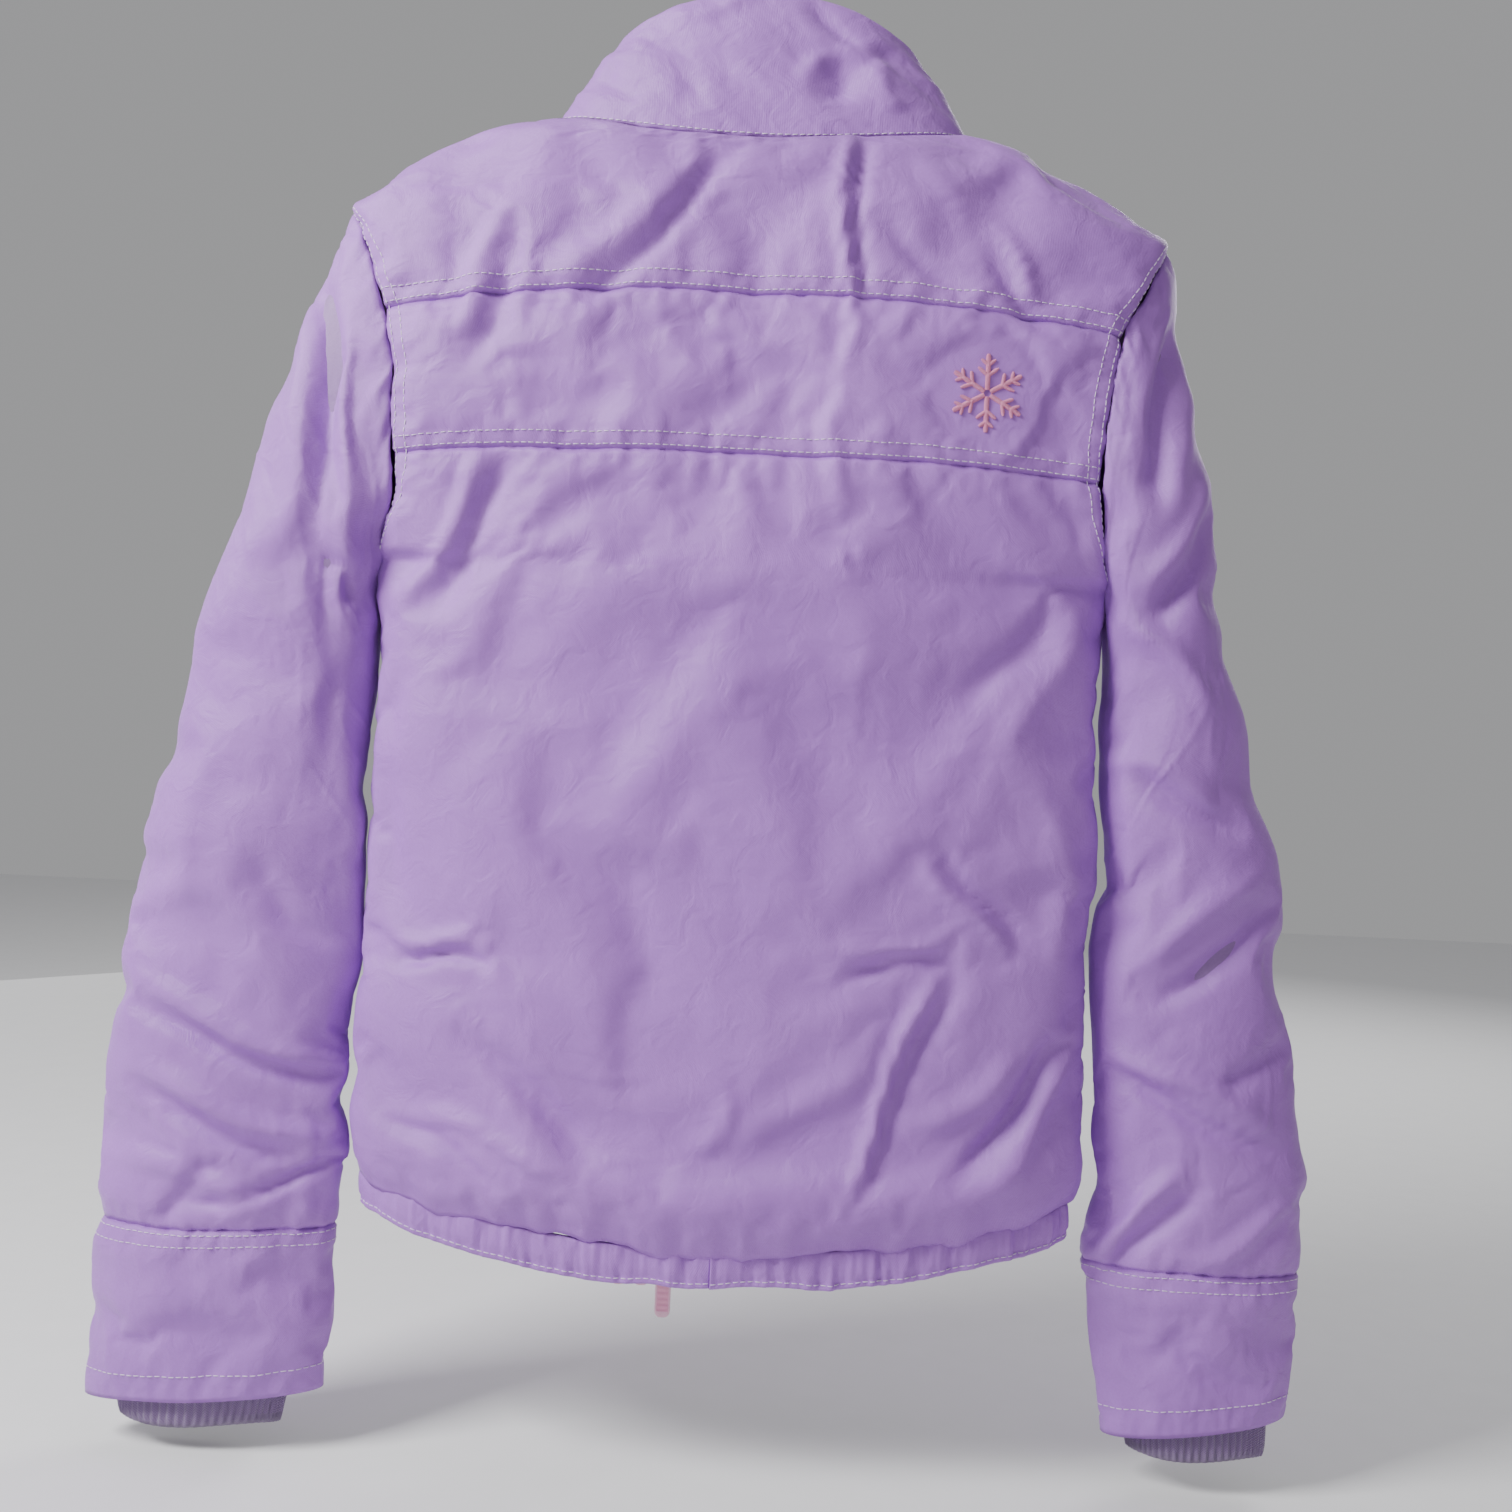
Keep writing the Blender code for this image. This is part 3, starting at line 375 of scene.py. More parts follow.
def fold_heights(x, z, folds):
    """The height that folds give to points seen from the back or the front."""
    total = np.zeros_like(x)
    for x0, z0, x1, z1, width, height in folds:
        run = np.array([x1 - x0, z1 - z0], float)
        length = float(np.hypot(*run))
        along = ((x - x0) * run[0] + (z - z0) * run[1]) / length**2
        wave = 3.0 * np.sin(along * 5.0 + x0)
        across = ((x - x0) * run[1] - (z - z0) * run[0]) / length + wave
        taper = np.clip(np.minimum(along + 0.15, 1.15 - along) / 0.35, 0.0, 1.0)
        total += FOLD_STRENGTH * height * np.exp(-((across / width) ** 2)) * taper * taper * (3 - 2 * taper)
    return total


def grid_normals(grid, wrap=False):
    """Unit normals of a grid, pointing to the left of the column direction as rows climb."""
    down = np.gradient(grid, axis=0)
    if wrap:
        along = (np.roll(grid, -1, axis=1) - np.roll(grid, 1, axis=1)) / 2
    else:
        along = np.gradient(grid, axis=1)
    normal = np.cross(along, down)
    return normal / np.maximum(np.linalg.norm(normal, axis=2), 1e-9)[:, :, None]


def outward_normals(grid, wrap=False):
    """Normals turned to point out of the garment."""
    normal = grid_normals(grid, wrap)
    centre = grid.mean(axis=1, keepdims=True) if wrap else np.array([[[0.0, 0.0, -320.0]]])
    toward = (grid - centre) * [0.2, 1.0, 0.0]
    return normal if (normal * toward).sum() > 0 else -normal


def waist_bulge(z, edge_z):
    """How far the body billows out over the hem channel, by height above the waist edge."""
    above = np.maximum(z - edge_z, 0.0)
    return 5.5 * np.exp(-(((above - 26.0) / 20.0) ** 2)) - 4.0 * np.exp(-((above / 7.0) ** 2))


def shape_body(grid, face, side):
    """Adds the billow over the waist, the listed folds and broad unevenness to a body grid."""
    normal = outward_normals(grid)
    x, z = grid[:, :, 0], grid[:, :, 2]
    lift = waist_bulge(z, grid[:1, :, 2])
    if face == "back":
        lift = lift + fold_heights(x, z, BACK_FOLDS)
        seed = 11
    else:
        lift = lift + fold_heights(np.abs(x), z, FRONT_FOLDS)
        seed = 31 + SIDES[side]
    broad = layered_noise(x / 62.0 + 9, z / 80.0 + 9, seed) * 2.2
    inside = np.clip((z - grid[:1, :, 2]) / 40.0, 0.2, 1.0)
    if face == "front":
        edge = np.clip((np.abs(x) - FRONT_EDGE[side] - 34.0) / 40.0, 0.0, 1.0)
        inside = inside * edge
        lift = lift * (0.15 + 0.85 * edge)
    moved = grid + normal * (lift + broad * inside)[:, :, None]
    low = np.exp(-((z - grid[:1, :, 2]) / 14.0) ** 2)
    moved[:, :, 2] -= low * (2.0 + 2.5 * layered_noise(x / 16.0, z * 0.0, seed + 5, 2))
    return moved


def shape_sleeve(grid, side):
    """Adds the listed folds and broad unevenness to a sleeve grid."""
    normal = outward_normals(grid, wrap=True)
    x, y, z = np.abs(grid[:, :, 0]), grid[:, :, 1], grid[:, :, 2]
    facing = np.clip(np.abs(y) / 12.0, 0.0, 1.0)
    front = np.where(y < 0, -0.6, 1.0)
    lift = fold_heights(x, z, SLEEVE_FOLDS[side]) * facing * front
    lift = lift + layered_noise(x / 50.0 + y / 40.0 + 20, z / 55.0 + 9, 51 + SIDES[side]) * 2.0
    count = len(grid)
    ends = np.minimum(np.arange(count), np.arange(count)[::-1]) / 8.0
    return grid + normal * (lift * np.clip(ends, 0.0, 1.0)[:, None])[:, :, None]


# ---------------------------------------------------------------- cloth simulation
def grid_faces(rows, cols, wrap=False):
    """Quads of a grid of points."""
    r, c = np.meshgrid(np.arange(rows - 1), np.arange(cols if wrap else cols - 1), indexing="ij")
    a, b = r * cols + c, r * cols + (c + 1) % cols
    return np.stack([a, b, b + cols, a + cols], axis=-1).reshape(-1, 4)


def mesh_object(name, points, faces):
    """An object from world points and faces."""
    mesh = bpy.data.meshes.new(name)
    mesh.from_pydata([tuple(p) for p in points], [], [tuple(int(i) for i in f) for f in faces])
    made = bpy.data.objects.new(name, mesh)
    bpy.context.scene.collection.objects.link(made)
    return made


def simulate(grids, held, wraps):
    """Lets several welded grids crease as cloth that is a little too large for its shape."""
    points, faces, hold, starts = [], [], [], []
    total = 0
    for grid, weights, wrap in zip(grids, held, wraps):
        rows, cols, _ = grid.shape
        starts.append(total)
        points.append(world(grid).reshape(-1, 3))
        faces.append(grid_faces(rows, cols, wrap) + total)
        hold.append(weights.reshape(-1))
        total += rows * cols
    points, faces, hold = np.concatenate(points), np.concatenate(faces), np.concatenate(hold)
    keys = {}
    joined = np.empty(total, int)
    for i, key in enumerate(map(tuple, np.round(points / 4e-4).astype(int))):
        joined[i] = keys.setdefault(key, i)
    kept = np.unique(joined)
    index = np.searchsorted(kept, joined)
    faces = [f for f in index[faces] if len(set(f)) == 4]
    cloth = mesh_object("cloth", points[kept], faces)
    group = cloth.vertex_groups.new(name="hold")
    for i, weight in enumerate(hold[kept]):
        group.add([i], float(weight), "REPLACE")
    modifier = cloth.modifiers.new("cloth", "CLOTH")
    settings = modifier.settings
    settings.quality = 5
    settings.mass = 0.25
    settings.tension_stiffness = 12.0
    settings.compression_stiffness = 12.0
    settings.shear_stiffness = 4.0
    settings.bending_stiffness = 1.2
    settings.tension_damping = settings.compression_damping = settings.shear_damping = 4.0
    settings.air_damping = 4.0
    settings.vertex_group_mass = "hold"
    settings.pin_stiffness = 1.0
    settings.shrink_min = -CLOTH_GROWTH
    settings.effector_weights.gravity = 0.0
    modifier.collision_settings.use_collision = False
    modifier.collision_settings.use_self_collision = False
    scene = bpy.context.scene
    for step in range(1, CLOTH_FRAMES + 1):
        scene.frame_set(step)
    graph = bpy.context.evaluated_depsgraph_get()
    result = cloth.evaluated_get(graph).to_mesh()
    moved = np.empty(len(result.vertices) * 3, np.float32)
    result.vertices.foreach_get("co", moved)
    moved = moved.reshape(-1, 3).astype(float)[index] / MM + HANG
    scene.frame_set(1)
    bpy.data.objects.remove(cloth)
    made = []
    for grid, start, wrap in zip(grids, starts, wraps):
        rows, cols, _ = grid.shape
        made.append(limit_reach(grid, moved[start:start + rows * cols].reshape(rows, cols, 3), wrap))
    return made


def limit_reach(grid, moved, wrap):
    """Keeps the creased cloth within a few millimetres of its shape, so that it clears the lining."""
    normal = outward_normals(grid, wrap)
    shift = moved - grid
    out = (shift * normal).sum(axis=2)
    low, high = CLOTH_REACH
    soft = np.where(out > 0, high * np.tanh(out / high), low * np.tanh(out / low))
    along = shift - normal * out[:, :, None]
    size = np.linalg.norm(along, axis=2)
    share = np.minimum(1.0, CLOTH_SLIDE / np.maximum(size, 1e-6))
    return grid + along * share[:, :, None] + normal * soft[:, :, None]


def hold_weights(grid, seam_rows, seam_cols, grip):
    """How firmly grid points keep their place: by grip at seam rows, fully at seam columns and both ends."""
    rows = len(grid)
    x, z = grid[:, :, 0], grid[:, :, 2]
    weights = CLOTH_HOLD * (1.0 + 0.7 * lattice_noise(x / 70.0 + 5, z / 70.0 + 5, 77))
    for row in seam_rows:
        near = np.abs(np.arange(rows) - row)
        weights = np.maximum(weights, np.select([near == 0, near == 1], [grip, 0.3], 0.0)[:, None])
    weights[:, seam_cols] = 1.0
    weights[[0, -1]] = 1.0
    return weights


# ---------------------------------------------------------------- finer grids and seams
def finer_axis(values, wrap=False):
    """Twice as many rows, with smooth points between."""
    if wrap:
        before, after, last = np.roll(values, 1, 0), np.roll(values, -1, 0), np.roll(values, -2, 0)
        middle = (9 * (values + after) - before - last) / 16
        out = np.empty((2 * len(values),) + values.shape[1:])
        out[0::2], out[1::2] = values, middle
        return out
    padded = np.concatenate([2 * values[:1] - values[1:2], values, 2 * values[-1:] - values[-2:-1]])
    middle = (9 * (values[:-1] + values[1:]) - padded[:-3] - padded[3:]) / 16
    out = np.empty((2 * len(values) - 1,) + values.shape[1:])
    out[0::2], out[1::2] = values, middle
    return out


def finer(grid, wrap=False):
    """A grid with half the step both ways."""
    return finer_axis(finer_axis(grid).transpose(1, 0, 2), wrap).transpose(1, 0, 2)


def grid_lengths(grid):
    """Distances along the columns and along the rows at every point, in millimetres."""
    along = np.linalg.norm(np.diff(grid, axis=1), axis=2).cumsum(axis=1)
    up = np.linalg.norm(np.diff(grid, axis=0), axis=2).mean(axis=1).cumsum()
    u = np.concatenate([np.zeros((len(grid), 1)), along], axis=1)
    v = np.concatenate([[0.0], up])[:, None] + np.zeros(grid.shape[1])
    return u, v


def seam_relief(distance, along, seed, depth=1.7):
    """The groove at a seam, the swelling beside it and the puckers across it."""
    groove = -depth * np.exp(-((distance / 2.0) ** 2))
    swell = 0.7 * np.exp(-(((np.abs(distance) - 12.0) / 6.0) ** 2))
    pucker = layered_noise(along / 7.5, distance / 40.0 + 3.0, seed, 2) * np.exp(-np.abs(distance) / 11.0)
    return groove + swell + pucker


def fine_creases(u, v, seed):
    """Thin crisp ridges and valleys over the cloth, stronger in some places than in others."""
    total = 0.0
    for layer, (size, height) in enumerate(((34.0, 1.1), (19.0, 0.6))):
        for sign in (1.0, -0.8):
            field = lattice_noise(u / size + 7.0 * sign + 20, v / size + 20, seed + 7 * layer + int(sign > 0))
            line = np.clip(1.0 - np.abs(field) * 4.5, 0.0, 1.0) ** 1.6
            patch = np.clip(lattice_noise(u / 70.0 + 30, v / 70.0 + 30, seed + 31 + layer), 0.0, 1.0)
            total = total + sign * height * line * patch
    return total


# ---------------------------------------------------------------- meshes
def piece_from_grid(name, grid, material, wrap=False, thickness=SHELL_THICKNESS, inside=False):
    """A closed thin piece from a grid, with its UVs in metres along the cloth."""
    rows, cols, _ = grid.shape
    quads = grid_faces(rows, cols, wrap)
    u, v = grid_lengths(np.concatenate([grid, grid[:, :1]], axis=1) if wrap else grid)
    r, c = np.meshgrid(np.arange(rows - 1), np.arange(cols if wrap else cols - 1), indexing="ij")
    corners = [(r, c), (r, c + 1), (r + 1, c + 1), (r + 1, c)]
    uv = np.stack([np.stack([u[i], v[i]], axis=-1).reshape(-1, 2) for i in corners], axis=1) * MM
    outward = outward_normals(grid, wrap)
    turned = (outward * grid_normals(grid, wrap)).sum() < 0
    if turned != inside:
        quads, uv = quads[:, ::-1], uv[:, ::-1]
    made = mesh_object(name, world(grid).reshape(-1, 3), quads)
    layer = made.data.uv_layers.new(name="UVMap")
    layer.data.foreach_set("uv", np.ascontiguousarray(uv, np.float32).reshape(-1))
    made.data.shade_smooth()
    made.data.materials.append(material)
    if thickness:
        shell = made.modifiers.new("thickness", "SOLIDIFY")
        shell.thickness = thickness * MM
        shell.offset = -1.0
    return made


def solid(name, points, faces, material, smooth=True):
    """A closed piece from garment points and faces, with its normals made to point out."""
    made = mesh_object(name, world(points), faces)
    work = bmesh.new()
    work.from_mesh(made.data)
    bmesh.ops.recalc_face_normals(work, faces=work.faces)
    work.to_mesh(made.data)
    work.free()
    if smooth:
        made.data.shade_smooth()
    made.data.materials.append(material)
    return made


def place(piece, body, slot, *nodes):
    """Attaches a piece to the body that it rides on and hides the nodes that it stands for; the slot for its
    finish is not used.
    """
    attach(piece, body)
    if nodes:
        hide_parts(*nodes)
    return piece


def strip_points(path, normals, half_width, half_height, sides=4):
    """Rings of points of a thin bar along a path, end to end in one list."""
    run = np.gradient(path, axis=0)
    run /= np.linalg.norm(run, axis=1)[:, None]
    side = np.cross(run, normals)
    side /= np.linalg.norm(side, axis=1)[:, None]
    lines = []
    for i in range(sides):
        turn = math.tau * (i + 0.5) / sides
        lines.append(path + side * half_width * math.cos(turn) + normals * half_height * math.sin(turn))
    return np.stack(lines, axis=1).reshape(-1, 3)


def bar_faces(base, rings, sides):
    """Faces of a closed bar whose rings of points start at a base index."""
    faces = []
    for start in range(base, base + sides * (rings - 1), sides):
        for i in range(sides):
            a, b = start + i, start + (i + 1) % sides
            faces.append((a, b, b + sides, a + sides))
    last = base + sides * (rings - 1)
    return faces + [tuple(base + i for i in reversed(range(sides))), tuple(last + i for i in range(sides))]


def dashes(paths, length=3.0, gap=0.9, width=0.33, height=0.32):
    """Points and faces of the stitches along paths, each path with its normals."""
    points, faces = [], []
    for path, normals in paths:
        reach = run_length(path)
        for start in np.arange(0.5, reach[-1] - length, length + gap):
            spots = start + length * np.array([0.0, 0.2, 0.8, 1.0])
            up = resample(normals, reach, spots)
            line = resample(path, reach, spots) + up * np.array([-0.25, 0.12, 0.12, -0.25])[:, None]
            faces += bar_faces(16 * len(points), 4, 4)
            points.append(strip_points(line, up, width, height))
    return np.concatenate(points), faces


def stitches(name, paths, body="torso"):
    """One piece with all the stitches of a seam."""
    points, faces = dashes(paths)
    return place(solid(name, points, faces, MATERIALS["thread"]), body, "embroidery_thread")


def row_path(grid, normal, v, height, columns=None):
    """The line across a grid at one height along its columns, with its normals."""
    spots, ups = [], []
    levels = v[:, 0]
    for c in range(grid.shape[1]) if columns is None else columns:
        spots.append([np.interp(height, levels, grid[:, c, i]) for i in range(3)])
        ups.append([np.interp(height, levels, normal[:, c, i]) for i in range(3)])
    return np.array(spots), np.array(ups)


def column_path(grid, normal, u, distance, rows, from_end):
    """The line down a grid at one distance from its first or last column."""
    spots, ups = [], []
    for r in rows:
        reach = u[r][-1] - distance if from_end else distance
        spots.append([np.interp(reach, u[r], grid[r, :, i]) for i in range(3)])
        ups.append([np.interp(reach, u[r], normal[r, :, i]) for i in range(3)])
    return np.array(spots), np.array(ups)


# ---------------------------------------------------------------- materials
def math_node(tree, operation, a, b=None):
    """The result of a sum on numbers or sockets."""
    node = tree.nodes.new("ShaderNodeMath")
    node.operation = operation
    for socket, value in zip(node.inputs, (a, b)):
        if isinstance(value, (int, float)):
            socket.default_value = value
        elif value is not None:
            tree.links.new(value, socket)
    return node.outputs[0]


def noise_node(tree, scale, detail=3.0, distortion=0.0):
    """Noise over the object's own coordinates, in metres."""
    node = tree.nodes.new("ShaderNodeTexNoise")
    node.inputs["Scale"].default_value = scale
    node.inputs["Detail"].default_value = detail
    node.inputs["Distortion"].default_value = distortion
    coordinates = tree.nodes.new("ShaderNodeTexCoord")
    tree.links.new(coordinates.outputs["Object"], node.inputs["Vector"])
    return node.outputs["Fac"]


def mix_node(tree, factor, first, second):
    """A mix of two colours by a factor."""
    node = tree.nodes.new("ShaderNodeMix")
    node.data_type = "RGBA"
    tree.links.new(factor, node.inputs[0])
    for socket, value in zip((node.inputs[6], node.inputs[7]), (first, second)):
        if isinstance(value, tuple):
            socket.default_value = (*value, 1.0)
        else:
            tree.links.new(value, socket)
    return node.outputs[2]


def range_node(tree, value, low, high, new_low, new_high):
    """A value moved from one range to another."""
    node = tree.nodes.new("ShaderNodeMapRange")
    tree.links.new(value, node.inputs[0])
    for socket, number in zip(node.inputs[1:5], (low, high, new_low, new_high)):
        socket.default_value = number
    return node.outputs[0]


def weave_node(tree, pitch_u, pitch_v):
    """Height of a plain weave over the UVs, which are in metres."""
    coordinates = tree.nodes.new("ShaderNodeTexCoord")
    split = tree.nodes.new("ShaderNodeSeparateXYZ")
    tree.links.new(coordinates.outputs["UV"], split.inputs[0])
    u = math_node(tree, "SINE", math_node(tree, "MULTIPLY", split.outputs[0], math.tau / pitch_u))
    v = math_node(tree, "SINE", math_node(tree, "MULTIPLY", split.outputs[1], math.tau / pitch_v))
    return math_node(tree, "MULTIPLY", u, v)


def bump_node(tree, height, distance, strength, previous=None):
    """A normal bent by a height, on top of another one."""
    node = tree.nodes.new("ShaderNodeBump")
    node.inputs["Distance"].default_value = distance
    node.inputs["Strength"].default_value = strength
    tree.links.new(height, node.inputs["Height"])
    if previous is not None:
        tree.links.new(previous, node.inputs["Normal"])
    return node.outputs[0]


def shaded(name, colour, roughness, metallic=0.0, sheen=0.0, specular=0.5):
    """A material with its Principled shader set, and its node tree."""
    material = bpy.data.materials.new(name)
    material.use_nodes = True
    shader = material.node_tree.nodes["Principled BSDF"]
    shader.inputs["Base Color"].default_value = (*colour, 1.0)
    shader.inputs["Roughness"].default_value = roughness
    shader.inputs["Metallic"].default_value = metallic
    shader.inputs["Sheen Weight"].default_value = sheen
    shader.inputs["Sheen Roughness"].default_value = 0.4
    shader.inputs["Specular IOR Level"].default_value = specular
    return material, material.node_tree, shader


def cloth_material(name, colour, shade, roughness, pitch, sheen):
    """Woven cloth: patchy colour, threads, and a fine crinkle between the folds."""
    material, tree, shader = shaded(name, colour, roughness, sheen=sheen, specular=0.35)
    shader.inputs["Sheen Tint"].default_value = (0.85, 0.65, 1.0, 1.0)
    patches = noise_node(tree, 9.0, 4.0, 0.4)
    threads = weave_node(tree, pitch, pitch * 1.15)
    base = mix_node(tree, range_node(tree, patches, 0.3, 0.7, 0.0, 1.0), shade, colour)
    fine = noise_node(tree, 900.0, 2.0)
    dark = tuple(0.86 * c for c in shade)
    speckle = range_node(tree, fine, 0.35, 0.75, 0.0, 0.32)
    woven = mix_node(tree, speckle, base, dark)
    tree.links.new(woven, shader.inputs["Base Color"])
    rough = range_node(tree, patches, 0.3, 0.7, roughness - 0.05, roughness + 0.06)
    tree.links.new(rough, shader.inputs["Roughness"])
    crinkle = noise_node(tree, 70.0, 6.0, 0.8)
    normal = bump_node(tree, crinkle, 0.0022, 0.55)
    normal = bump_node(tree, threads, 0.0001, 0.5, normal)
    tree.links.new(normal, shader.inputs["Normal"])
    return material


def knit_material():
    """Knitted rib yarn: rows of small loops with painted shade in the hollows between them, and a soft nap.
    """
    colour, shade = (0.36, 0.25, 0.46), (0.22, 0.14, 0.30)
    material, tree, shader = shaded("rib_knit", colour, 0.85, sheen=0.5, specular=0.2)
    loops = weave_node(tree, 0.0016, 0.0013)
    # Painted shade: the yarn colour falls to the darker colour where the loop height is low, in the hollows
    # between the loops.
    painted_hollow_shade = range_node(tree, loops, -1.0, 1.0, 0.0, 1.0)
    tree.links.new(mix_node(tree, painted_hollow_shade, shade, colour), shader.inputs["Base Color"])
    nap = noise_node(tree, 700.0, 3.0)
    normal = bump_node(tree, nap, 0.0003, 0.6)
    tree.links.new(bump_node(tree, loops, 0.0004, 0.8, normal), shader.inputs["Normal"])
    return material


def tape_material():
    """Woven zip tape with close threads, and painted shade in the dips between them."""
    material, tree, shader = shaded("zip_tape", (0.30, 0.20, 0.38), 0.7, sheen=0.3, specular=0.3)
    threads = weave_node(tree, 0.0009, 0.0007)
    # Painted shade: the tape is darker where the thread height is low, in the dips between the threads.
    painted_hollow_shade = range_node(tree, threads, -1.0, 1.0, 0.0, 1.0)
    tree.links.new(mix_node(tree, painted_hollow_shade, (0.24, 0.15, 0.31), (0.34, 0.23, 0.43)), shader.inputs["Base Color"])
    tree.links.new(bump_node(tree, threads, 0.0002, 0.6), shader.inputs["Normal"])
    return material


def thread_material(name, colour, shade):
    """Glossy twisted thread, with painted shade in its low dips."""
    material, tree, shader = shaded(name, colour, 0.45, sheen=0.3, specular=0.5)
    twist_relief_and_shade = noise_node(tree, 1400.0, 2.0)
    # Painted shade: the thread is darker where this noise's bump height is low.
    tree.links.new(mix_node(tree, twist_relief_and_shade, shade, colour), shader.inputs["Base Color"])
    tree.links.new(bump_node(tree, twist_relief_and_shade, 0.0002, 0.5), shader.inputs["Normal"])
    return material


def rubber_material(name, colour, shade):
    """Soft matt rubber with a moulded grain."""
    material, tree, shader = shaded(name, colour, 0.42, specular=0.45)
    stain = noise_node(tree, 60.0, 4.0)
    tree.links.new(mix_node(tree, stain, shade, colour), shader.inputs["Base Color"])
    grain = noise_node(tree, 1500.0, 2.0)
    tree.links.new(bump_node(tree, grain, 0.0001, 0.35), shader.inputs["Normal"])
    tree.links.new(range_node(tree, stain, 0.3, 0.7, 0.36, 0.5), shader.inputs["Roughness"])
    return material


def metal_material():
    """Brushed nickel with fine wear."""
    material, tree, shader = shaded("zip_metal", (0.62, 0.60, 0.64), 0.32, metallic=1.0)
    wear = noise_node(tree, 400.0, 5.0)
    tree.links.new(range_node(tree, wear, 0.3, 0.7, 0.22, 0.45), shader.inputs["Roughness"])
    tree.links.new(mix_node(tree, wear, (0.48, 0.46, 0.5), (0.74, 0.72, 0.76)), shader.inputs["Base Color"])
    tree.links.new(bump_node(tree, wear, 0.0001, 0.2), shader.inputs["Normal"])
    return material


def floor_material():
    """Plain pale floor."""
    material, tree, shader = shaded("floor", (0.80, 0.80, 0.81), 0.85, specular=0.2)
    grain = noise_node(tree, 40.0, 3.0)
    tree.links.new(mix_node(tree, grain, (0.78, 0.78, 0.79), (0.82, 0.82, 0.83)), shader.inputs["Base Color"])
    return material


MATERIALS = {
    "shell": cloth_material("shell_nylon", (0.46, 0.195, 0.68), (0.39, 0.16, 0.59), 0.44, 0.0009, 0.12),
    "lining": cloth_material("lining_taffeta", (0.33, 0.19, 0.44), (0.28, 0.15, 0.38), 0.38, 0.0008, 0.25),
    "knit": knit_material(),
    "tape": tape_material(),
    "thread": thread_material("topstitch", (0.80, 0.66, 0.88), (0.62, 0.48, 0.72)),
    "satin": thread_material("satin_stitch", (0.86, 0.30, 0.50), (0.66, 0.20, 0.38)),
    "pull": rubber_material("pull_rubber", (0.98, 0.44, 0.63), (0.90, 0.37, 0.56)),
    "pull_rim": rubber_material("pull_rim_rubber", (1.0, 0.62, 0.76), (0.97, 0.55, 0.70)),
    "metal": metal_material(),
    "label": cloth_material("label_satin", (0.78, 0.74, 0.80), (0.70, 0.66, 0.73), 0.35, 0.0007, 0.2),
}


# ---------------------------------------------------------------- body and sleeves
def wobble(grid):
    """Broad unevenness of the whole garment, the same for every grid that meets at a seam."""
    x, z = grid[:, :, 0], grid[:, :, 2]
    side = np.clip((np.abs(x) - 120.0) / 60.0, 0.0, 1.0)
    shift = layered_noise(x / 130.0 + 7, z / 34.0 + 11, 5, 2) * 2.6 * side
    lift = layered_noise(x / 60.0 + 3, z / 90.0 + 5, 6, 2) * 1.2 * np.clip((-z - 60.0) / 60.0, 0.0, 1.0)
    return grid + np.stack([shift, np.zeros_like(x), lift], axis=2)


def fade_edges(grid, moved, steps=4):
    """Keeps a shaped grid's first and last columns where they were."""
    near = np.arange(grid.shape[1])
    share = np.clip(np.minimum(near, near[::-1]) / steps, 0.0, 1.0)[None, :, None]
    return grid + (moved - grid) * share


def still_zone(grid, face, side):
    """1 where zips, pockets or embroidery keep the cloth flat, and 0 elsewhere."""
    x, z = grid[:, :, 0], grid[:, :, 2]
    if face == "back":
        gap = np.hypot(x - MOTIF_CENTRE[0], z - MOTIF_CENTRE[1])
        return 0.75 * np.clip((34.0 - gap) / 10.0, 0.0, 1.0)
    zips = np.clip((FRONT_EDGE[side] + 46.0 - np.abs(x)) / 8.0, 0.0, 1.0)
    wide = np.clip((26.0 - np.abs(np.abs(x) - POCKET_X)) / 8.0, 0.0, 1.0)
    tall = np.clip(np.minimum(z - POCKET_Z[0] + 22.0, POCKET_Z[1] + 20.0 - z) / 10.0, 0.0, 1.0)
    return np.maximum(zips, wide * tall)


def make_grids():
    """The cloth of the body and sleeves after its folds, its simulation and the step to a finer grid."""
    names, grids, weights, wraps = [], [], [], []
    seams = {"back": (MIDDLE_ROW, YOKE_ROW), "front": (FRONT_YOKE_ROW,)}
    for face, side in (("back", None), ("front", "left"), ("front", "right")):
        base = body_grid(face, side)
        still = still_zone(base, face, side)
        shaped = fade_edges(base, shape_body(base, face, side))
        shaped = base + (shaped - base) * (1.0 - still)[:, :, None]
        shaped = wobble(shaped)
        rows = [0, len(ROWS) - 1] + [ROWS.index(s) for s in seams[face]]
        held = hold_weights(shaped, rows, [0, -1], 0.85)
        names.append(face if side is None else f"front_{side}")
        grids.append(shaped)
        weights.append(np.maximum(held, still))
        wraps.append(False)
    for side in SIDES:
        places = np.concatenate([np.linspace(0.0, 1.0, SLEEVE_RINGS + 1), np.linspace(1.0, 2.0, 18)[1:]])
        base = sleeve_grid(side, places, SLEEVE_AROUND)
        shaped = shape_sleeve(base, side)
        share = np.clip(np.arange(len(base)) / 3.0, 0.0, 1.0)[:, None, None]
        shaped = wobble(base + (shaped - base) * share)
        rows = [0, SLEEVE_RINGS, len(places) - 1]
        held = hold_weights(shaped, rows, [], 0.7)
        names.append(f"sleeve_{side}")
        grids.append(shaped)
        weights.append(held)
        wraps.append(True)
    grids = simulate(grids, weights, wraps)
    return {n: finer(g, w) for n, g, w in zip(names, grids, wraps)}


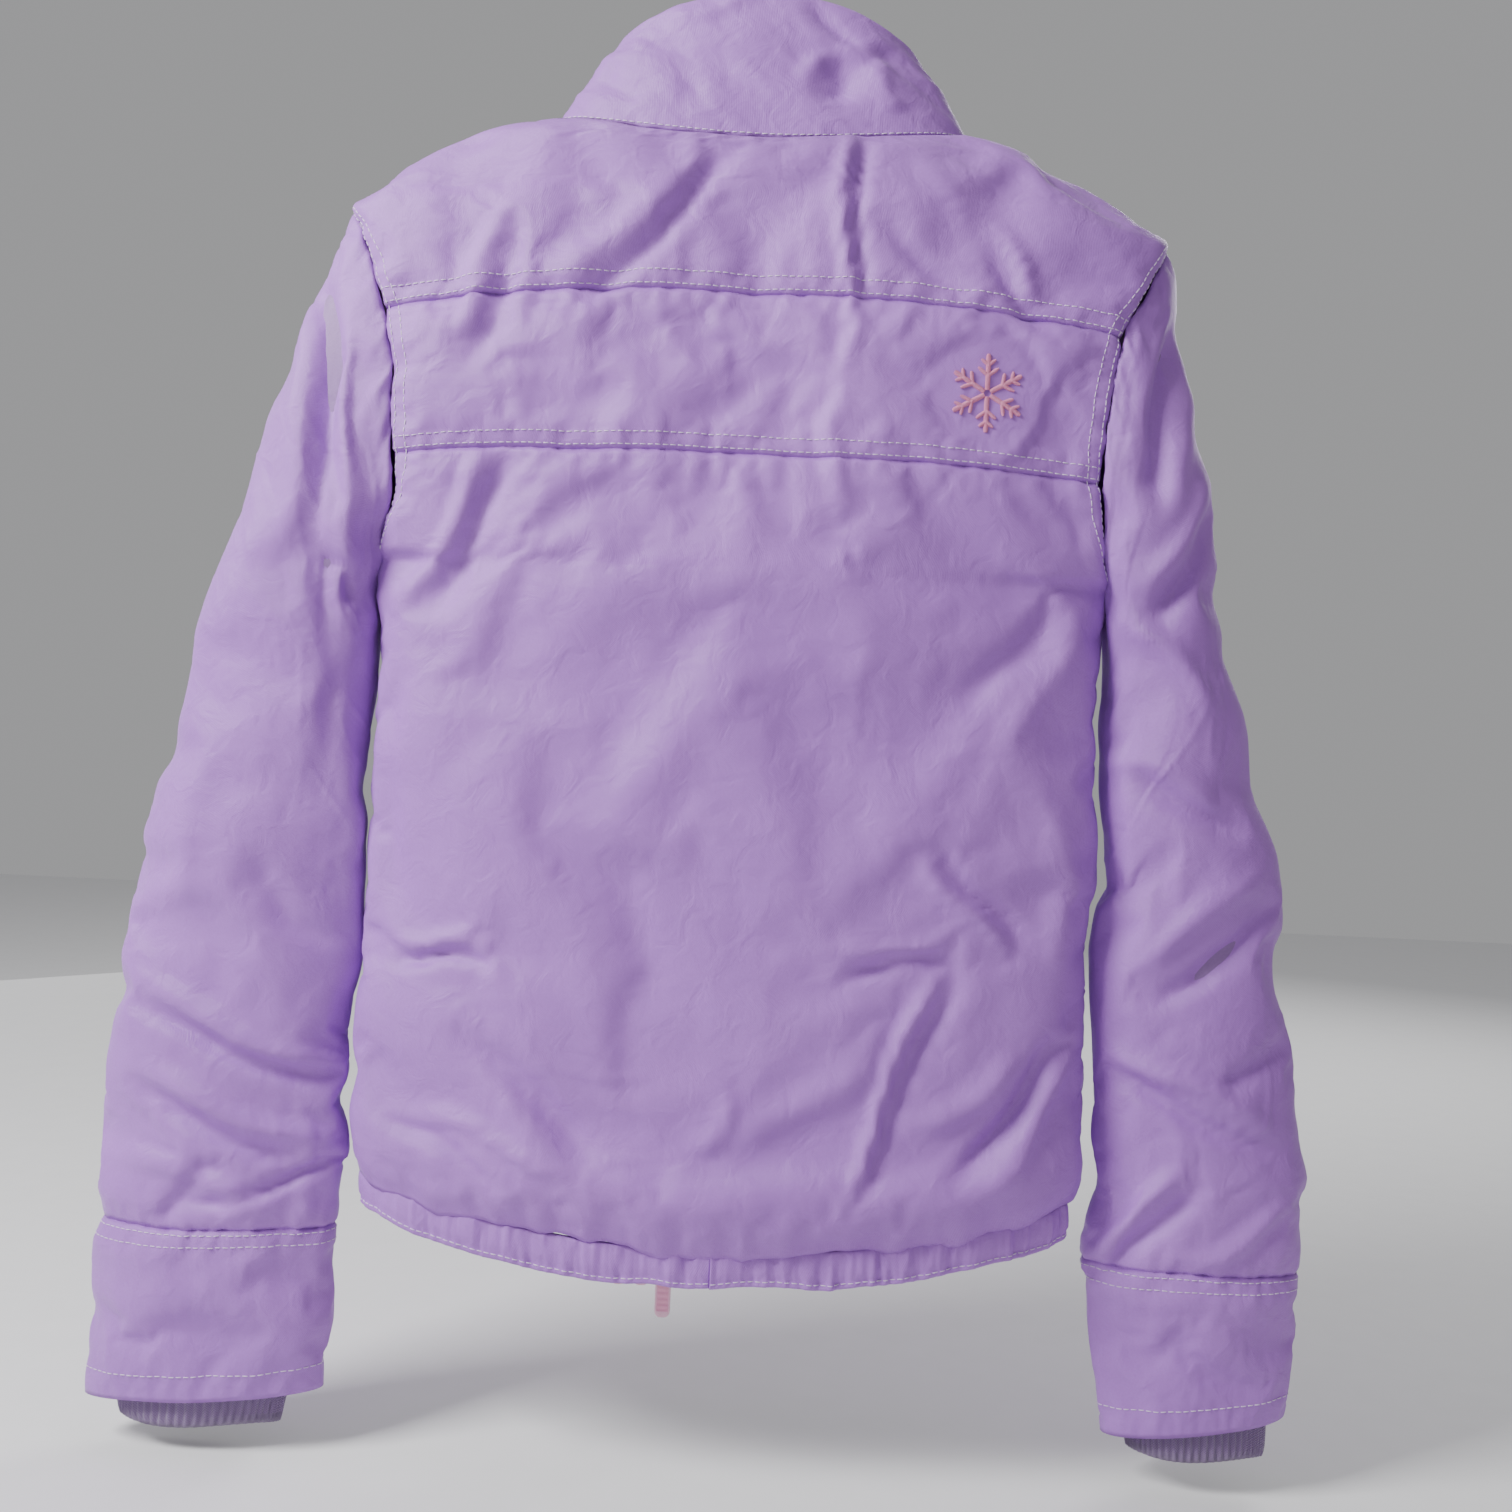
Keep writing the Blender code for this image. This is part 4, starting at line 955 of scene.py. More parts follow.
def dress_body(grids):
    """Body panels cut at their seams, with the stitching beside them."""
    seam_paths = []
    for face, side in (("back", None), ("front", "left"), ("front", "right")):
        name = face if side is None else f"front_{side}"
        grid = grids[name]
        normal = outward_normals(grid)
        u, v = grid_lengths(grid)
        cuts = {"back": [MIDDLE_ROW, YOKE_ROW], "front": [FRONT_YOKE_ROW]}[face]
        cuts = [2 * ROWS.index(c) for c in cuts]
        flat = 1.0 - still_zone(grid, face, side) * (face == "front")
        lift = fine_creases(u, v, 500 + len(name)) * np.clip(np.minimum(v, v[-1, 0] - v) / 20.0, 0.0, 1.0)
        for cut in cuts:
            lift += seam_relief(v - v[cut, 0], u, 200 + cut)
        hole = range(2 * ROWS.index(1.0), 2 * ROWS.index(2.0) + 1)
        ends = [True] if side else [True, False]
        for end in ends:
            distance = u[:, -1:] - u if end else u
            relief = seam_relief(distance, v, 300 + end, 1.2)
            lift += relief * np.clip((v - v[hole[0], 0]) / 20.0, 0.15, 1.0)
        grid = grid + normal * (lift * (0.1 + 0.9 * flat))[:, :, None]
        normal = outward_normals(grid)
        edges = [0] + cuts + [len(grid) - 1]
        labels = {"back": ["back_lower_panel", "back_middle_panel", "back_yoke"],
                  "front": [f"front_{side}_panel", f"front_{side}_yoke"]}[face]
        for low, high, label in zip(edges[:-1], edges[1:], labels):
            piece = piece_from_grid(f"{label}_shell", grid[low:high + 1], MATERIALS["shell"])
            place(piece, "torso", "shell_fabric", label)
        for cut in cuts:
            rows = [2.6, 9.4] if cut == cuts[-1] else [2.4, 8.6]
            seam_paths += [row_path(grid, normal, v, v[cut, 0] + up) for up in rows]
        for end in ends:
            for distance in (2.6, 8.8):
                seam_paths.append(column_path(grid, normal, u, distance, list(hole)[2:-1], end))
        if side:
            front_rows = list(range(4, len(grid) - 4))
            seam_paths.append(column_path(grid, normal, u, 1.6, front_rows, False))
        grids[name] = grid
    stitches("body_topstitching", seam_paths)


def dress_sleeves(grids):
    """Sleeves, and the cuffs below them."""
    for side in SIDES:
        body = f"{side}_sleeve_part"
        grid = grids[f"sleeve_{side}"]
        normal = outward_normals(grid, True)
        u, v = grid_lengths(grid)
        cut = 2 * SLEEVE_RINGS
        lift = seam_relief(v - v[cut, 0], u, 400, 1.6) + seam_relief(v, u, 410 + SIDES[side], 1.2)
        level = np.clip(np.minimum(v, v[-1, 0] - v) / 20.0, 0.0, 1.0)
        lift += fine_creases(grid[:, :, 0] * 1.3 + grid[:, :, 1], v, 520 + SIDES[side]) * level
        grid = grid + normal * lift[:, :, None]
        sleeve = piece_from_grid(f"{side}_sleeve_shell", grid[:cut + 1], MATERIALS["shell"], wrap=True)
        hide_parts(f"{side}_sleeve")
        bend_at_armhole(sleeve, np.repeat(np.linspace(0.0, 1.0, cut + 1), grid.shape[1]))
        cuff = grid[cut:].copy()
        turned = [sleeve_grid(side, [at], cuff.shape[1], inset)[0]
                  for at, inset in ((1.995, 1.4), (1.97, 2.6), (1.9, 3.2), (1.8, 3.4))]
        shift = cuff[-1] - sleeve_grid(side, [2.0], cuff.shape[1])[0]
        cuff = np.concatenate([cuff, np.array(turned) + shift])
        piece = piece_from_grid(f"{side}_cuff_shell", cuff, MATERIALS["shell"], wrap=True)
        place(piece, body, "shell_fabric", f"{side}_cuff")
        normal = outward_normals(grid, True)
        loop = list(range(grid.shape[1])) + [0]
        levels = [v[cut, 0] + 2.6, v[cut, 0] + 8.8, v[-1, 0] - 14.0]
        stitches(f"{side}_cuff_topstitching", [row_path(grid, normal, v, at, loop) for at in levels], body)


def bend_at_armhole(piece, places):
    """Bakes a sleeve's transform into its mesh and works out the share that would blend it from the body to
    its own part over the first third of its length; the share is not applied.

    The share follows the length along the sleeve, because its inner edge hangs beside the body.
    """
    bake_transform(piece)
    share = np.clip(places / 0.35, 0.0, 1.0)
    share = share * share * (3 - 2 * share)


def make_linings():
    """Linings of the body and sleeves with soft folds."""
    for face, side in (("back", None), ("front", "left"), ("front", "right")):
        grid = body_grid(face, side, LINING_INSET)[::2]
        x, z = grid[:, :, 0], grid[:, :, 2]
        soft = layered_noise(x / 45.0 + 3, z / 120.0 + 2, 91 + (side == "left")) - 1.0
        soft = soft * np.clip((z - WAIST_Z + 12.0) / 30.0, 0.0, 1.0)
        grid = grid + outward_normals(grid) * np.minimum(soft, 0.0)[:, :, None]
        if side:
            facing = []
            for depth in (-44.2, -43.0, -40.5):
                line = grid[:, :1].copy()
                line[:, :, 0] = SIDES[side] * (FRONT_EDGE[side] + 0.6)
                line[:, :, 1] = depth
                facing.append(line)
            grid = np.concatenate(facing + [grid], axis=1)
        name = f"{face}_lining" if side is None else f"{face}_{side}_lining"
        nodes = [name, name.replace("lining", "wadding")]
        if side:
            nodes.append(f"{side}_pocket_bag")
        piece = piece_from_grid(f"{name}_cloth", grid, MATERIALS["lining"], thickness=0.6)
        place(piece, "torso", "lining_fabric", *nodes)
    for side in SIDES:
        places = np.linspace(0.0, 1.0, 50) * LINING_END
        grid = sleeve_grid(side, places, 64, LINING_INSET)
        piece = piece_from_grid(f"{side}_sleeve_lining_cloth", grid, MATERIALS["lining"], True, 0.6)
        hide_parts(f"{side}_sleeve_lining", f"{side}_sleeve_wadding")
        bend_at_armhole(piece, np.repeat(np.minimum(places, 1.0), 64))


def make_ribs():
    """Knitted cuffs inside the sleeves' cuffs, with raised ribs."""
    ribs, around, rows = 58, 58 * 6, 26
    turns = np.linspace(0.0, math.tau, around, endpoint=False)
    for side, sign in SIDES.items():
        lines = []
        for h in np.linspace(0.0, 1.0, rows):
            outer = np.array(RIB_OUTER[side][0]) * (1 - h) + np.array(RIB_OUTER[side][1]) * h
            inner = np.array(RIB_INNER[side][0]) * (1 - h) + np.array(RIB_INNER[side][1]) * h
            depth = RIB_DEPTH[0] + (RIB_DEPTH[1] - RIB_DEPTH[0]) * h
            middle, reach = (outer + inner) / 2, (outer - inner) / 2
            grow = 0.75 * np.cos(ribs * turns) + 0.8 * layered_noise(turns * 3.0, turns * 0 + h * 2.0, 71)
            grow = grow * min(1.0, 0.3 + (1.0 - h) * 12.0)
            x = middle[0] + (reach[0] - 0.8 + grow) * np.cos(turns)
            y = (depth - 0.8 + grow) * np.sin(turns)
            z = middle[1] + reach[1] * np.cos(turns) + 1.2 * h * np.sin(3 * turns + sign)
            lines.append(np.stack([sign * x, y, z], axis=1))
        piece = piece_from_grid(f"{side}_rib_knit", np.array(lines), MATERIALS["knit"], True, 2.2)
        place(piece, f"{side}_sleeve_part", "rib_knit", f"{side}_rib_cuff")


# ---------------------------------------------------------------- collar, hem
def ring_point(share, face, inset, half, depth, centre_z, side_z):
    """A point of the neck seam or the collar's top line; share is the part of its half width."""
    side_share = np.minimum(1.0, np.abs(share))
    power = BACK_ROUNDNESS if face == "back" else FRONT_ROUNDNESS
    height = (1.0 - side_share**power) ** (1.0 / power)
    y = (depth - inset) * height * (1 if face == "back" else -1)
    z = centre_z + (side_z - centre_z) * side_share**2
    return np.stack([(half - inset) * share, y, z], axis=-1)


def collar_lines(inset):
    """The neck seam and the collar's top line as matching points."""
    quarter = np.sin(np.linspace(0.0, math.pi / 2, 60))
    low, top = [], []
    for side in ("right", "left"):
        parts = []
        for half, depth_front, centre_front, side_z, depth_back, centre_back in (
            (NECK_HALF_WIDTH, FRONT_DEPTH, FRONT_NECK_DROP, 0.0, BACK_DEPTH - 12.0, BACK_NECK_DROP),
            (COLLAR_TOP_HALF_WIDTH, FRONT_DEPTH, COLLAR_TOP_FRONT_Z, COLLAR_TOP_SIDE_Z, *COLLAR_TOP_BACK),
        ):
            start = math.asin(FRONT_EDGE[side] / (half - inset))
            front = np.sin(np.linspace(start, math.pi / 2, 60))
            fore = ring_point(front, "front", inset, half, depth_front, centre_front, side_z)
            rear = ring_point(quarter[::-1], "back", inset, half, depth_back, centre_back, side_z)
            parts.append(np.concatenate([fore, rear[1:]]) * [SIDES[side], 1, 1])
        low.append(parts[0])
        top.append(parts[1])
    low = np.concatenate([low[0], low[1][::-1][1:]])
    top = np.concatenate([top[0], top[1][::-1][1:]])
    reach = run_length((low + top) / 2)
    even = np.linspace(0.0, reach[-1], 170)
    return [resample(line, reach, even) for line in (low, top)]


COLLAR_FOLDS = [
    (-38, 8, -38, 40, 10, -3.6), (-58, 44, -18, 22, 6, 2.6), (-20, 60, -62, 34, 5, -2.2),
    (30, 4, 62, 40, 8, -1.8), (8, 62, 52, 54, 5, 1.6), (-72, 8, -52, 26, 6, 2.0), (70, 2, 82, 26, 6, -2.0),
]


def make_collar():
    """The padded stand collar: an outer cloth that rolls over the top edge, and the facing inside."""
    outer_low, outer_top = collar_lines(0.4)
    inner_low, inner_top = collar_lines(COLLAR_THICKNESS - 0.4)
    outer_rows, inner_rows = [], []
    for h in np.linspace(0.0, 0.95, 38):
        outer_rows.append(outer_low + (outer_top - outer_low) * h)
        inner_rows.append(inner_low + (inner_top - inner_low) * h)
    outer_rows[0] = outer_rows[0] + (inner_low - outer_low) * 0.25
    start, end = outer_rows[-1], inner_rows[-1]
    middle = (start + end) / 2
    climb = (outer_top - outer_low) * 0.05
    for turn in np.linspace(0.0, math.pi, 15)[1:-1]:
        spot = middle + (start - middle) * math.cos(turn) + climb * math.sin(turn)
        (outer_rows if turn < 2.2 else inner_rows).append(spot)
    inner_rows = inner_rows[:38] + inner_rows[38:][::-1]
    inner_rows.append(outer_rows[-1])
    for name, rows, flip in (("collar_outer", outer_rows, False), ("collar_facing", inner_rows, True)):
        grid = np.array(rows)
        normal = outward_normals(grid)
        x, z = grid[:, :, 0], grid[:, :, 2]
        u, v = grid_lengths(grid)
        share = np.linspace(0.0, 1.0, len(grid))[:, None]
        puff = 2.2 * np.maximum(np.sin(math.pi * share), 0.0) ** 0.7
        crumple = layered_noise(u / 26.0 + 4, v / 30.0 + 8, 131 + flip) * 1.5 * np.sin(math.pi * share)
        pucker = layered_noise(u / 8.0, v / 60.0, 141, 2) * 0.8 * np.exp(-v / 10.0)
        folds = fold_heights(x, z, COLLAR_FOLDS) * (grid[:, :, 1] > 0) * np.sin(math.pi * share) ** 0.5
        sign = -0.6 if flip else 1.0
        ends = np.minimum(u, u[:, -1:] - u)
        relief = (puff + crumple + folds * (0.3 if flip else 1.0)) * np.clip(ends / 14.0, 0.1, 1.0) + pucker
        relief = relief * np.clip((np.abs(x) - ZIP_ZONE) / 12.0 + (grid[:, :, 1] > 0) * 9.0, 0.0, 1.0)
        grid = grid + normal * (sign * relief)[:, :, None]
        grid = finer(grid)
        shell = piece_from_grid(f"{name}_cloth", grid, MATERIALS["lining" if flip else "shell"], inside=flip)
        nodes = ["collar_outer"] if not flip else ["collar_facing", "collar_wadding"]
        place(shell, "torso", "lining_fabric" if flip else "shell_fabric", *nodes)
        if not flip:
            u, v = grid_lengths(grid)
            normal = outward_normals(grid)
            stitches("collar_topstitching", [row_path(grid, normal, v, 3.0)])
    close_collar_ends(outer_rows + inner_rows[::-1][1:])


def close_collar_ends(loop):
    """Thin pieces that close the padded collar at its two front ends."""
    points, faces = [], []
    for end, shift in ((0, -0.5), (-1, 0.5)):
        outline = np.array([row[end] for row in loop])
        faces += bar_faces(len(points), 2, len(outline))
        points += list(outline + [shift, 0.0, 0.0]) + list(outline - [shift, 0.0, 0.0])
    place(solid("collar_end_closings", points, faces, MATERIALS["shell"]), "torso", "shell_fabric")


def hem_path(side, inset):
    """The hem band's top line from the centre back to the front edge, with even steps."""
    back = np.sin(np.linspace(0.0, math.pi / 2, 90))
    half = HALF_WIDTH - inset
    front = np.sin(np.linspace(math.asin(FRONT_EDGE[side] / half), math.pi / 2, 90))[::-1]
    power = BACK_ROUNDNESS
    rear = np.stack([half * back, (BACK_DEPTH - inset) * (1 - back**power) ** (1 / power),
                     WAIST_Z + WAIST_DROP_BACK * (1 - back**2)], axis=1)
    power = FRONT_ROUNDNESS
    fore = np.stack([half * front, -(FRONT_DEPTH - inset) * (1 - front**power) ** (1 / power),
                     WAIST_Z + WAIST_DROP_FRONT * (1 - front**2)], axis=1)
    line = np.concatenate([rear, fore[1:]]) * [SIDES[side], 1, 1]
    reach = run_length(line)
    even = np.arange(0.0, reach[-1], 0.9)
    return resample(line, reach, even), even


def make_hem():
    """The elasticated hem channel in two halves, drawn up into close puckers."""
    stitching = []
    for side, sign in SIDES.items():
        path, s = hem_path(side, 3.2)
        run = np.gradient(path, axis=0)
        out = np.cross(run, [0.0, 0.0, 1.0]) * sign
        out /= np.linalg.norm(out, axis=1)[:, None]
        if (out[0] * path[0]).sum() < 0:
            out = -out
        strong = 1.0 if side == "right" else 0.72
        sag = 1.4 * layered_noise(s / 30.0, s * 0 + 2.0, 163 + sign, 2)
        section = 28
        rows = []
        for i in range(section):
            turn = math.tau * i / section
            vertical = math.copysign(abs(math.cos(turn)) ** 0.75, math.cos(turn))
            across = math.copysign(abs(math.sin(turn)) ** 0.75, math.sin(turn))
            z = -HEM_HEIGHT / 2 + (HEM_HEIGHT / 2) * vertical
            face = 2.4 * across - 2.4
            waves = layered_noise(s / 6.2, s * 0 + z / 46.0 + 9.0, 171 + sign, 2)
            fine = layered_noise(s / 2.6, s * 0 + z / 20.0 + 3.0, 181 + sign, 2)
            grow = (1.9 * waves + 0.5 * fine) * strong * (0.35 + 0.65 * max(0.0, across))
            groove = -1.1 * math.exp(-(((z + 16.0) / 1.4) ** 2)) if across > 0 else 0.0
            line = path + out * (face + grow + groove)[:, None]
            line[:, 2] = path[:, 2] + z + sag * (0.4 if vertical > 0 else 1.0)
            rows.append(line)
        grid = np.array(rows).transpose(1, 0, 2)
        faces = [tuple(f) for f in grid_faces(len(grid), section, True)]
        faces += [tuple(range(section)), tuple((len(grid) - 1) * section + i for i in range(section))[::-1]]
        nodes = [f"hem_channel_{side}"] + (["hem_elastic"] if side == "left" else [])
        piece = solid(f"hem_{side}_gathered", grid.reshape(-1, 3), faces, MATERIALS["shell"])
        layer = piece.data.uv_layers.new(name="UVMap")
        count = len(grid)
        spread = np.stack([np.repeat(s[:count], section), np.tile(np.arange(section) * 1.8, count)], axis=1)
        index = np.empty(len(piece.data.loops), np.int32)
        piece.data.loops.foreach_get("vertex_index", index)
        layer.data.foreach_set("uv", np.ascontiguousarray(spread[index] * MM, np.float32).reshape(-1))
        place(piece, "torso", "shell_fabric", *nodes)
        k = int(np.argmin(np.abs(np.array([-HEM_HEIGHT / 2 + HEM_HEIGHT / 2 * math.cos(math.tau * i / section)
                                           for i in range(section // 2)]) + 16.0)))
        stitching.append((grid[:, k], out))
    stitches("hem_stitching", stitching)


# ---------------------------------------------------------------- zips, pulls, pockets
ZIPS = ["outer", "middle", "inner"]
PULL_LENGTH = 68.0
POCKET_PULL_LENGTH = 44.0
BAR_TO_PULL_TOP = 2.1


def pull_grid(length):
    """One face of a rubber pull as (across, along, half thickness), with a rim and grip ridges."""
    along = np.concatenate([np.linspace(-BAR_TO_PULL_TOP, 7.0, 12), np.linspace(7.0, 11.0, 8)[1:],
                            np.linspace(11.0, length - 4.0, 60)[1:],
                            length - 4.0 + 4.0 * np.sin(np.linspace(0.0, math.pi / 2, 10))[1:]])
    half = np.interp(along, [-3.0, 7.0, 11.0, length], [2.3, 2.3, 4.5, 4.5])
    end = np.clip((along - (length - 4.0)) / 4.0, 0.0, 0.995)
    half = half * (0.42 + 0.58 * np.sqrt(1.0 - end**2))
    share = np.sin(np.linspace(-math.pi / 2, math.pi / 2, 19))
    edge = np.sqrt(np.clip(1.0 - np.abs(share) ** 7, 0.0, 1.0))
    body = np.clip((along - 11.0) / 3.0, 0.0, 1.0) * np.clip((length - 3.0 - along) / 2.0, 0.0, 1.0)
    inner = np.clip((0.74 - np.abs(share)) / 0.12, 0.0, 1.0)
    low = length * 0.56
    ridges = 0.5 + 0.5 * np.cos(math.tau * (along - low) / 3.4)
    ridges = ridges * (along > low) * (along < length - 5.0)
    depth = 0.42 * (1.0 - 0.9 * ridges)
    height = 1.1 * edge[None, :] - body[:, None] * inner[None, :] * depth[:, None]
    return half[:, None] * share[None, :], along[:, None] + 0 * share[None, :], np.maximum(height, 0.02)


def make_pull(name, node, length, body):
    """A moulded rubber pull on its slider's bar, hanging straight down."""
    low, high = garment_box(node)
    centre = (low + high) / 2
    top = high[2]
    across, along, thick = pull_grid(length)
    rows, cols = across.shape
    z = top - BAR_TO_PULL_TOP - along
    front = np.stack([centre[0] + across, centre[1] - thick, z], axis=-1)
    back = np.stack([centre[0] + across, centre[1] + thick, z], axis=-1)
    points = np.concatenate([front.reshape(-1, 3), back.reshape(-1, 3)])
    quads = grid_faces(rows, cols)
    faces = [tuple(q) for q in quads] + [tuple(q[::-1] + rows * cols) for q in quads]
    rim = [(0, c) for c in range(cols)] + [(r, cols - 1) for r in range(1, rows)]
    rim += [(rows - 1, c) for c in range(cols - 2, -1, -1)] + [(r, 0) for r in range(rows - 2, 0, -1)]
    ids = [r * cols + c for r, c in rim]
    for a, b in zip(ids, ids[1:] + ids[:1]):
        faces.append((a, b, b + rows * cols, a + rows * cols))
    piece = solid(name, points, faces, MATERIALS["pull"])
    piece.data.materials.append(MATERIALS["pull_rim"])
    share = np.abs(across / np.abs(across).max(axis=1, keepdims=True)).reshape(-1)
    for polygon in piece.data.polygons:
        near = np.mean([share[v % (rows * cols)] for v in polygon.vertices])
        deep = np.mean([along.reshape(-1)[v % (rows * cols)] for v in polygon.vertices])
        if deep > 11.0 and near > 0.76 or deep > length - 3.0:
            polygon.material_index = 1
    place(piece, body, "pull_rubber", node)
    place(make_knuckle(f"{name}_knuckle", centre[0], centre[1], top - BAR_TO_PULL_TOP), body, "pull_rubber")


def make_knuckle(name, x, y, z):
    """The pull's rounded tube around its slider's bar."""
    rings = [[(x + step, y + r * math.sin(t), z + r * math.cos(t))
              for r in (2.0 - 0.25 * (abs(step) > 2), 1.05)
              for t in np.linspace(0.0, math.tau, 20, endpoint=False)]
             for step in np.linspace(-2.2, 2.2, 5)]
    faces = []
    for s in range(4):
        for ring in range(2):
            for i in range(20):
                a, b = 40 * s + 20 * ring + i, 40 * s + 20 * ring + (i + 1) % 20
                faces.append((a, b, b + 40, a + 40))
    for s in (0, 4):
        for i in range(20):
            a, b = 40 * s + i, 40 * s + (i + 1) % 20
            faces.append((a, b, b + 20, a + 20))
    return solid(name, np.array(rings).reshape(-1, 3), faces, MATERIALS["pull"])


def make_teeth(x, y, low, high, sign, pitch=1.9):
    """Points and faces of a coil's teeth as small rounded loops."""
    points, faces = [], []
    turns = np.linspace(0.0, math.tau, 8, endpoint=False)
    for z in np.arange(low + 0.8, high - 0.8, pitch):
        base = len(points)
        for reach, size in ((-1.5, 0.45), (-0.9, 0.72), (0.8, 0.6), (1.4, 0.4)):
            points += [(x + sign * reach, y + 1.05 * size / 0.72 * math.sin(t), z + size * math.cos(t))
                       for t in turns]
        for k in range(3):
            for i in range(8):
                a, b = base + 8 * k + i, base + 8 * k + (i + 1) % 8
                faces.append((a, b, b + 8, a + 8))
        faces += [tuple(base + i for i in range(8))[::-1], tuple(base + 24 + i for i in range(8))]
    return points, faces


def box_with_rounding(name, low, high, material, edge=0.3):
    """A small closed box with rounded edges."""
    low, high = np.array(low, float), np.array(high, float)
    points = [[(low, high)[(i >> k) & 1][k] for k in range(3)] for i in range(8)]
    faces = [(0, 1, 3, 2), (4, 6, 7, 5), (0, 4, 5, 1), (2, 3, 7, 6), (0, 2, 6, 4), (1, 5, 7, 3)]
    piece = solid(name, points, faces, material, smooth=False)
    bevel = piece.modifiers.new("rounding", "BEVEL")
    bevel.width = edge * MM
    bevel.segments = 3
    return piece


def make_tape(name, x0, x1, y, low, high):
    """A woven tape with a raised cord along its outer edge."""
    across = np.linspace(x0, x1, 9)
    up = np.linspace(low, high, int((high - low) / 3))
    wave = 0.12 * layered_noise(up / 14.0, up * 0 + x0, 211, 2)
    bead = 0.18 * np.exp(-(((across - x1) / 0.9) ** 2))
    front = np.array([[(x, y - 0.3 - b + w * abs(x - x0) / 8, z) for x, b in zip(across, bead)]
                      for z, w in zip(up, wave)])
    return piece_from_grid(name, front, MATERIALS["tape"], thickness=0.55)


def make_front_zips():
    """Tapes with coils on both front edges, and rounded metal boxes, pins and sliders."""
    for which in ZIPS:
        for side, sign in SIDES.items():
            node = f"{which}_zip_half_{side}"
            low, high = garment_box(node)
            y = (low[1] + high[1]) / 2
            chain = low[0] + 1.5 if sign > 0 else high[0] - 1.5
            outer = high[0] if sign > 0 else low[0]
            tape = make_tape(f"{node}_tape", chain, outer, y, low[2], high[2])
            place(tape, "torso", "zip_tape", node)
            points, faces = make_teeth(chain, y, low[2], high[2], -sign)
            place(solid(f"{node}_teeth", points, faces, MATERIALS["tape"]), "torso", "zip_tape")
            z = np.linspace(low[2] + 2, high[2] - 2, 200)
            line = np.stack([np.full(200, (chain + outer * 2) / 3), np.full(200, y - 0.45), z], axis=1)
            stitches(f"{node}_stitching", [(line, np.tile([0.0, -1.0, 0.0], (200, 1)))])
        make_pull(f"{which}_pull", f"{which}_zip_puller", PULL_LENGTH, f"{which}_puller_part")


def make_pockets():
    """Hand pockets: two welts over the zip, the coil between them and a pull."""
    for side, sign in SIDES.items():
        node = f"{side}_pocket_zip"
        low, high = garment_box(node)
        x, y = (low[0] + high[0]) / 2, high[1] - 0.6
        tape = make_tape(f"{side}_pocket_tape", x - 11.8, x + 11.8, y + 0.3, low[2], high[2])
        place(tape, "torso", "zip_tape", node)
        points, faces = make_teeth(x - 0.9, y - 1.3, low[2] + 3, high[2] - 3, 1)
        other, more = make_teeth(x + 0.9, y - 1.3, low[2] + 3.95, high[2] - 3, -1)
        faces += [tuple(i + len(points) for i in f) for f in more]
        teeth = solid(f"{side}_pocket_teeth", points + other, faces, MATERIALS["tape"])
        place(teeth, "torso", "zip_tape")
        paths = []
        for edge in (-1, 1):
            rows = []
            for z in np.linspace(low[2] - 4, high[2] + 4, 60):
                flat = 0.35 * layered_noise(np.array([z / 9.0]), np.array([3.0 + edge]), 221 + sign, 2)[0]
                turn = np.linspace(0.0, math.pi, 9)
                reach = 9.0 - 4.2 * np.cos(turn)
                rows.append([(x + edge * r, y - 0.5 - (1.3 + flat) * math.sin(t) ** 0.6, z)
                             for r, t in zip(reach, turn)])
            welt = piece_from_grid(f"{side}_pocket_welt_{'outer' if edge * sign > 0 else 'inner'}",
                                   np.array(rows), MATERIALS["shell"], thickness=0.4)
            place(welt, "torso", "shell_fabric")
            z = np.linspace(low[2] - 2, high[2] + 2, 60)
            line = np.stack([np.full(60, x + edge * 11.4), np.full(60, y - 1.8), z], axis=1)
            paths.append((line, np.tile([0.0, -1.0, 0.0], (60, 1))))
        stitches(f"{side}_pocket_stitching", paths)
        make_pull(f"{side}_pocket_pull", f"{side}_pocket_puller", POCKET_PULL_LENGTH,
                  f"{side}_pocket_puller_part")


def finish_hardware():
    """Rounds the metal pieces that keep their own shape and gives them their metal."""
    names = [f"{z}_zip_{part}" for z in ZIPS for part in ("slider", "box", "pin")]
    names += [f"{side}_pocket_slider" for side in SIDES]
    for name in names:
        node = frame["nodes"][name]
        node.data.materials.clear()
        node.data.materials.append(MATERIALS["metal"])
        bevel = node.modifiers.new("rounding", "BEVEL")
        bevel.width = 0.35 * MM
        bevel.segments = 3
        bevel.limit_method = "ANGLE"
        bevel.use_clamp_overlap = True


# ---------------------------------------------------------------- small pieces
def make_loop():
    """The woven hanger loop, an arch of tape closed at both ends."""
    steps = 60
    turn = np.linspace(0.0, math.pi, steps + 1)
    rise = np.sin(turn) ** 0.8
    path = np.stack([-30.0 * np.cos(turn), 25.6 + (18.0 - 25.6) * rise, -12.0 + 18.0 * rise], axis=1)
    run = np.gradient(path, axis=0)
    normal = np.stack([-run[:, 2], 0 * rise, run[:, 0]], axis=1)
    normal /= np.linalg.norm(normal, axis=1)[:, None]
    section = [(-2.5, -0.45), (-2.2, 0.55), (-1.2, 0.7), (1.2, 0.7), (2.2, 0.55), (2.5, -0.45), (1.2, -0.7),
               (-1.2, -0.7)]
    points = np.array([[p + np.array([0.0, a, 0.0]) + n * b for a, b in section]
                       for p, n in zip(path, normal)])
    count = len(section)
    faces = [tuple(f) for f in grid_faces(steps + 1, count, True)]
    faces += [tuple(range(count)), tuple(steps * count + i for i in range(count))[::-1]]
    loop = solid("hanger_loop_tape", points.reshape(-1, 3), faces, MATERIALS["tape"])
    place(loop, "torso", "zip_tape", "hanger_loop")


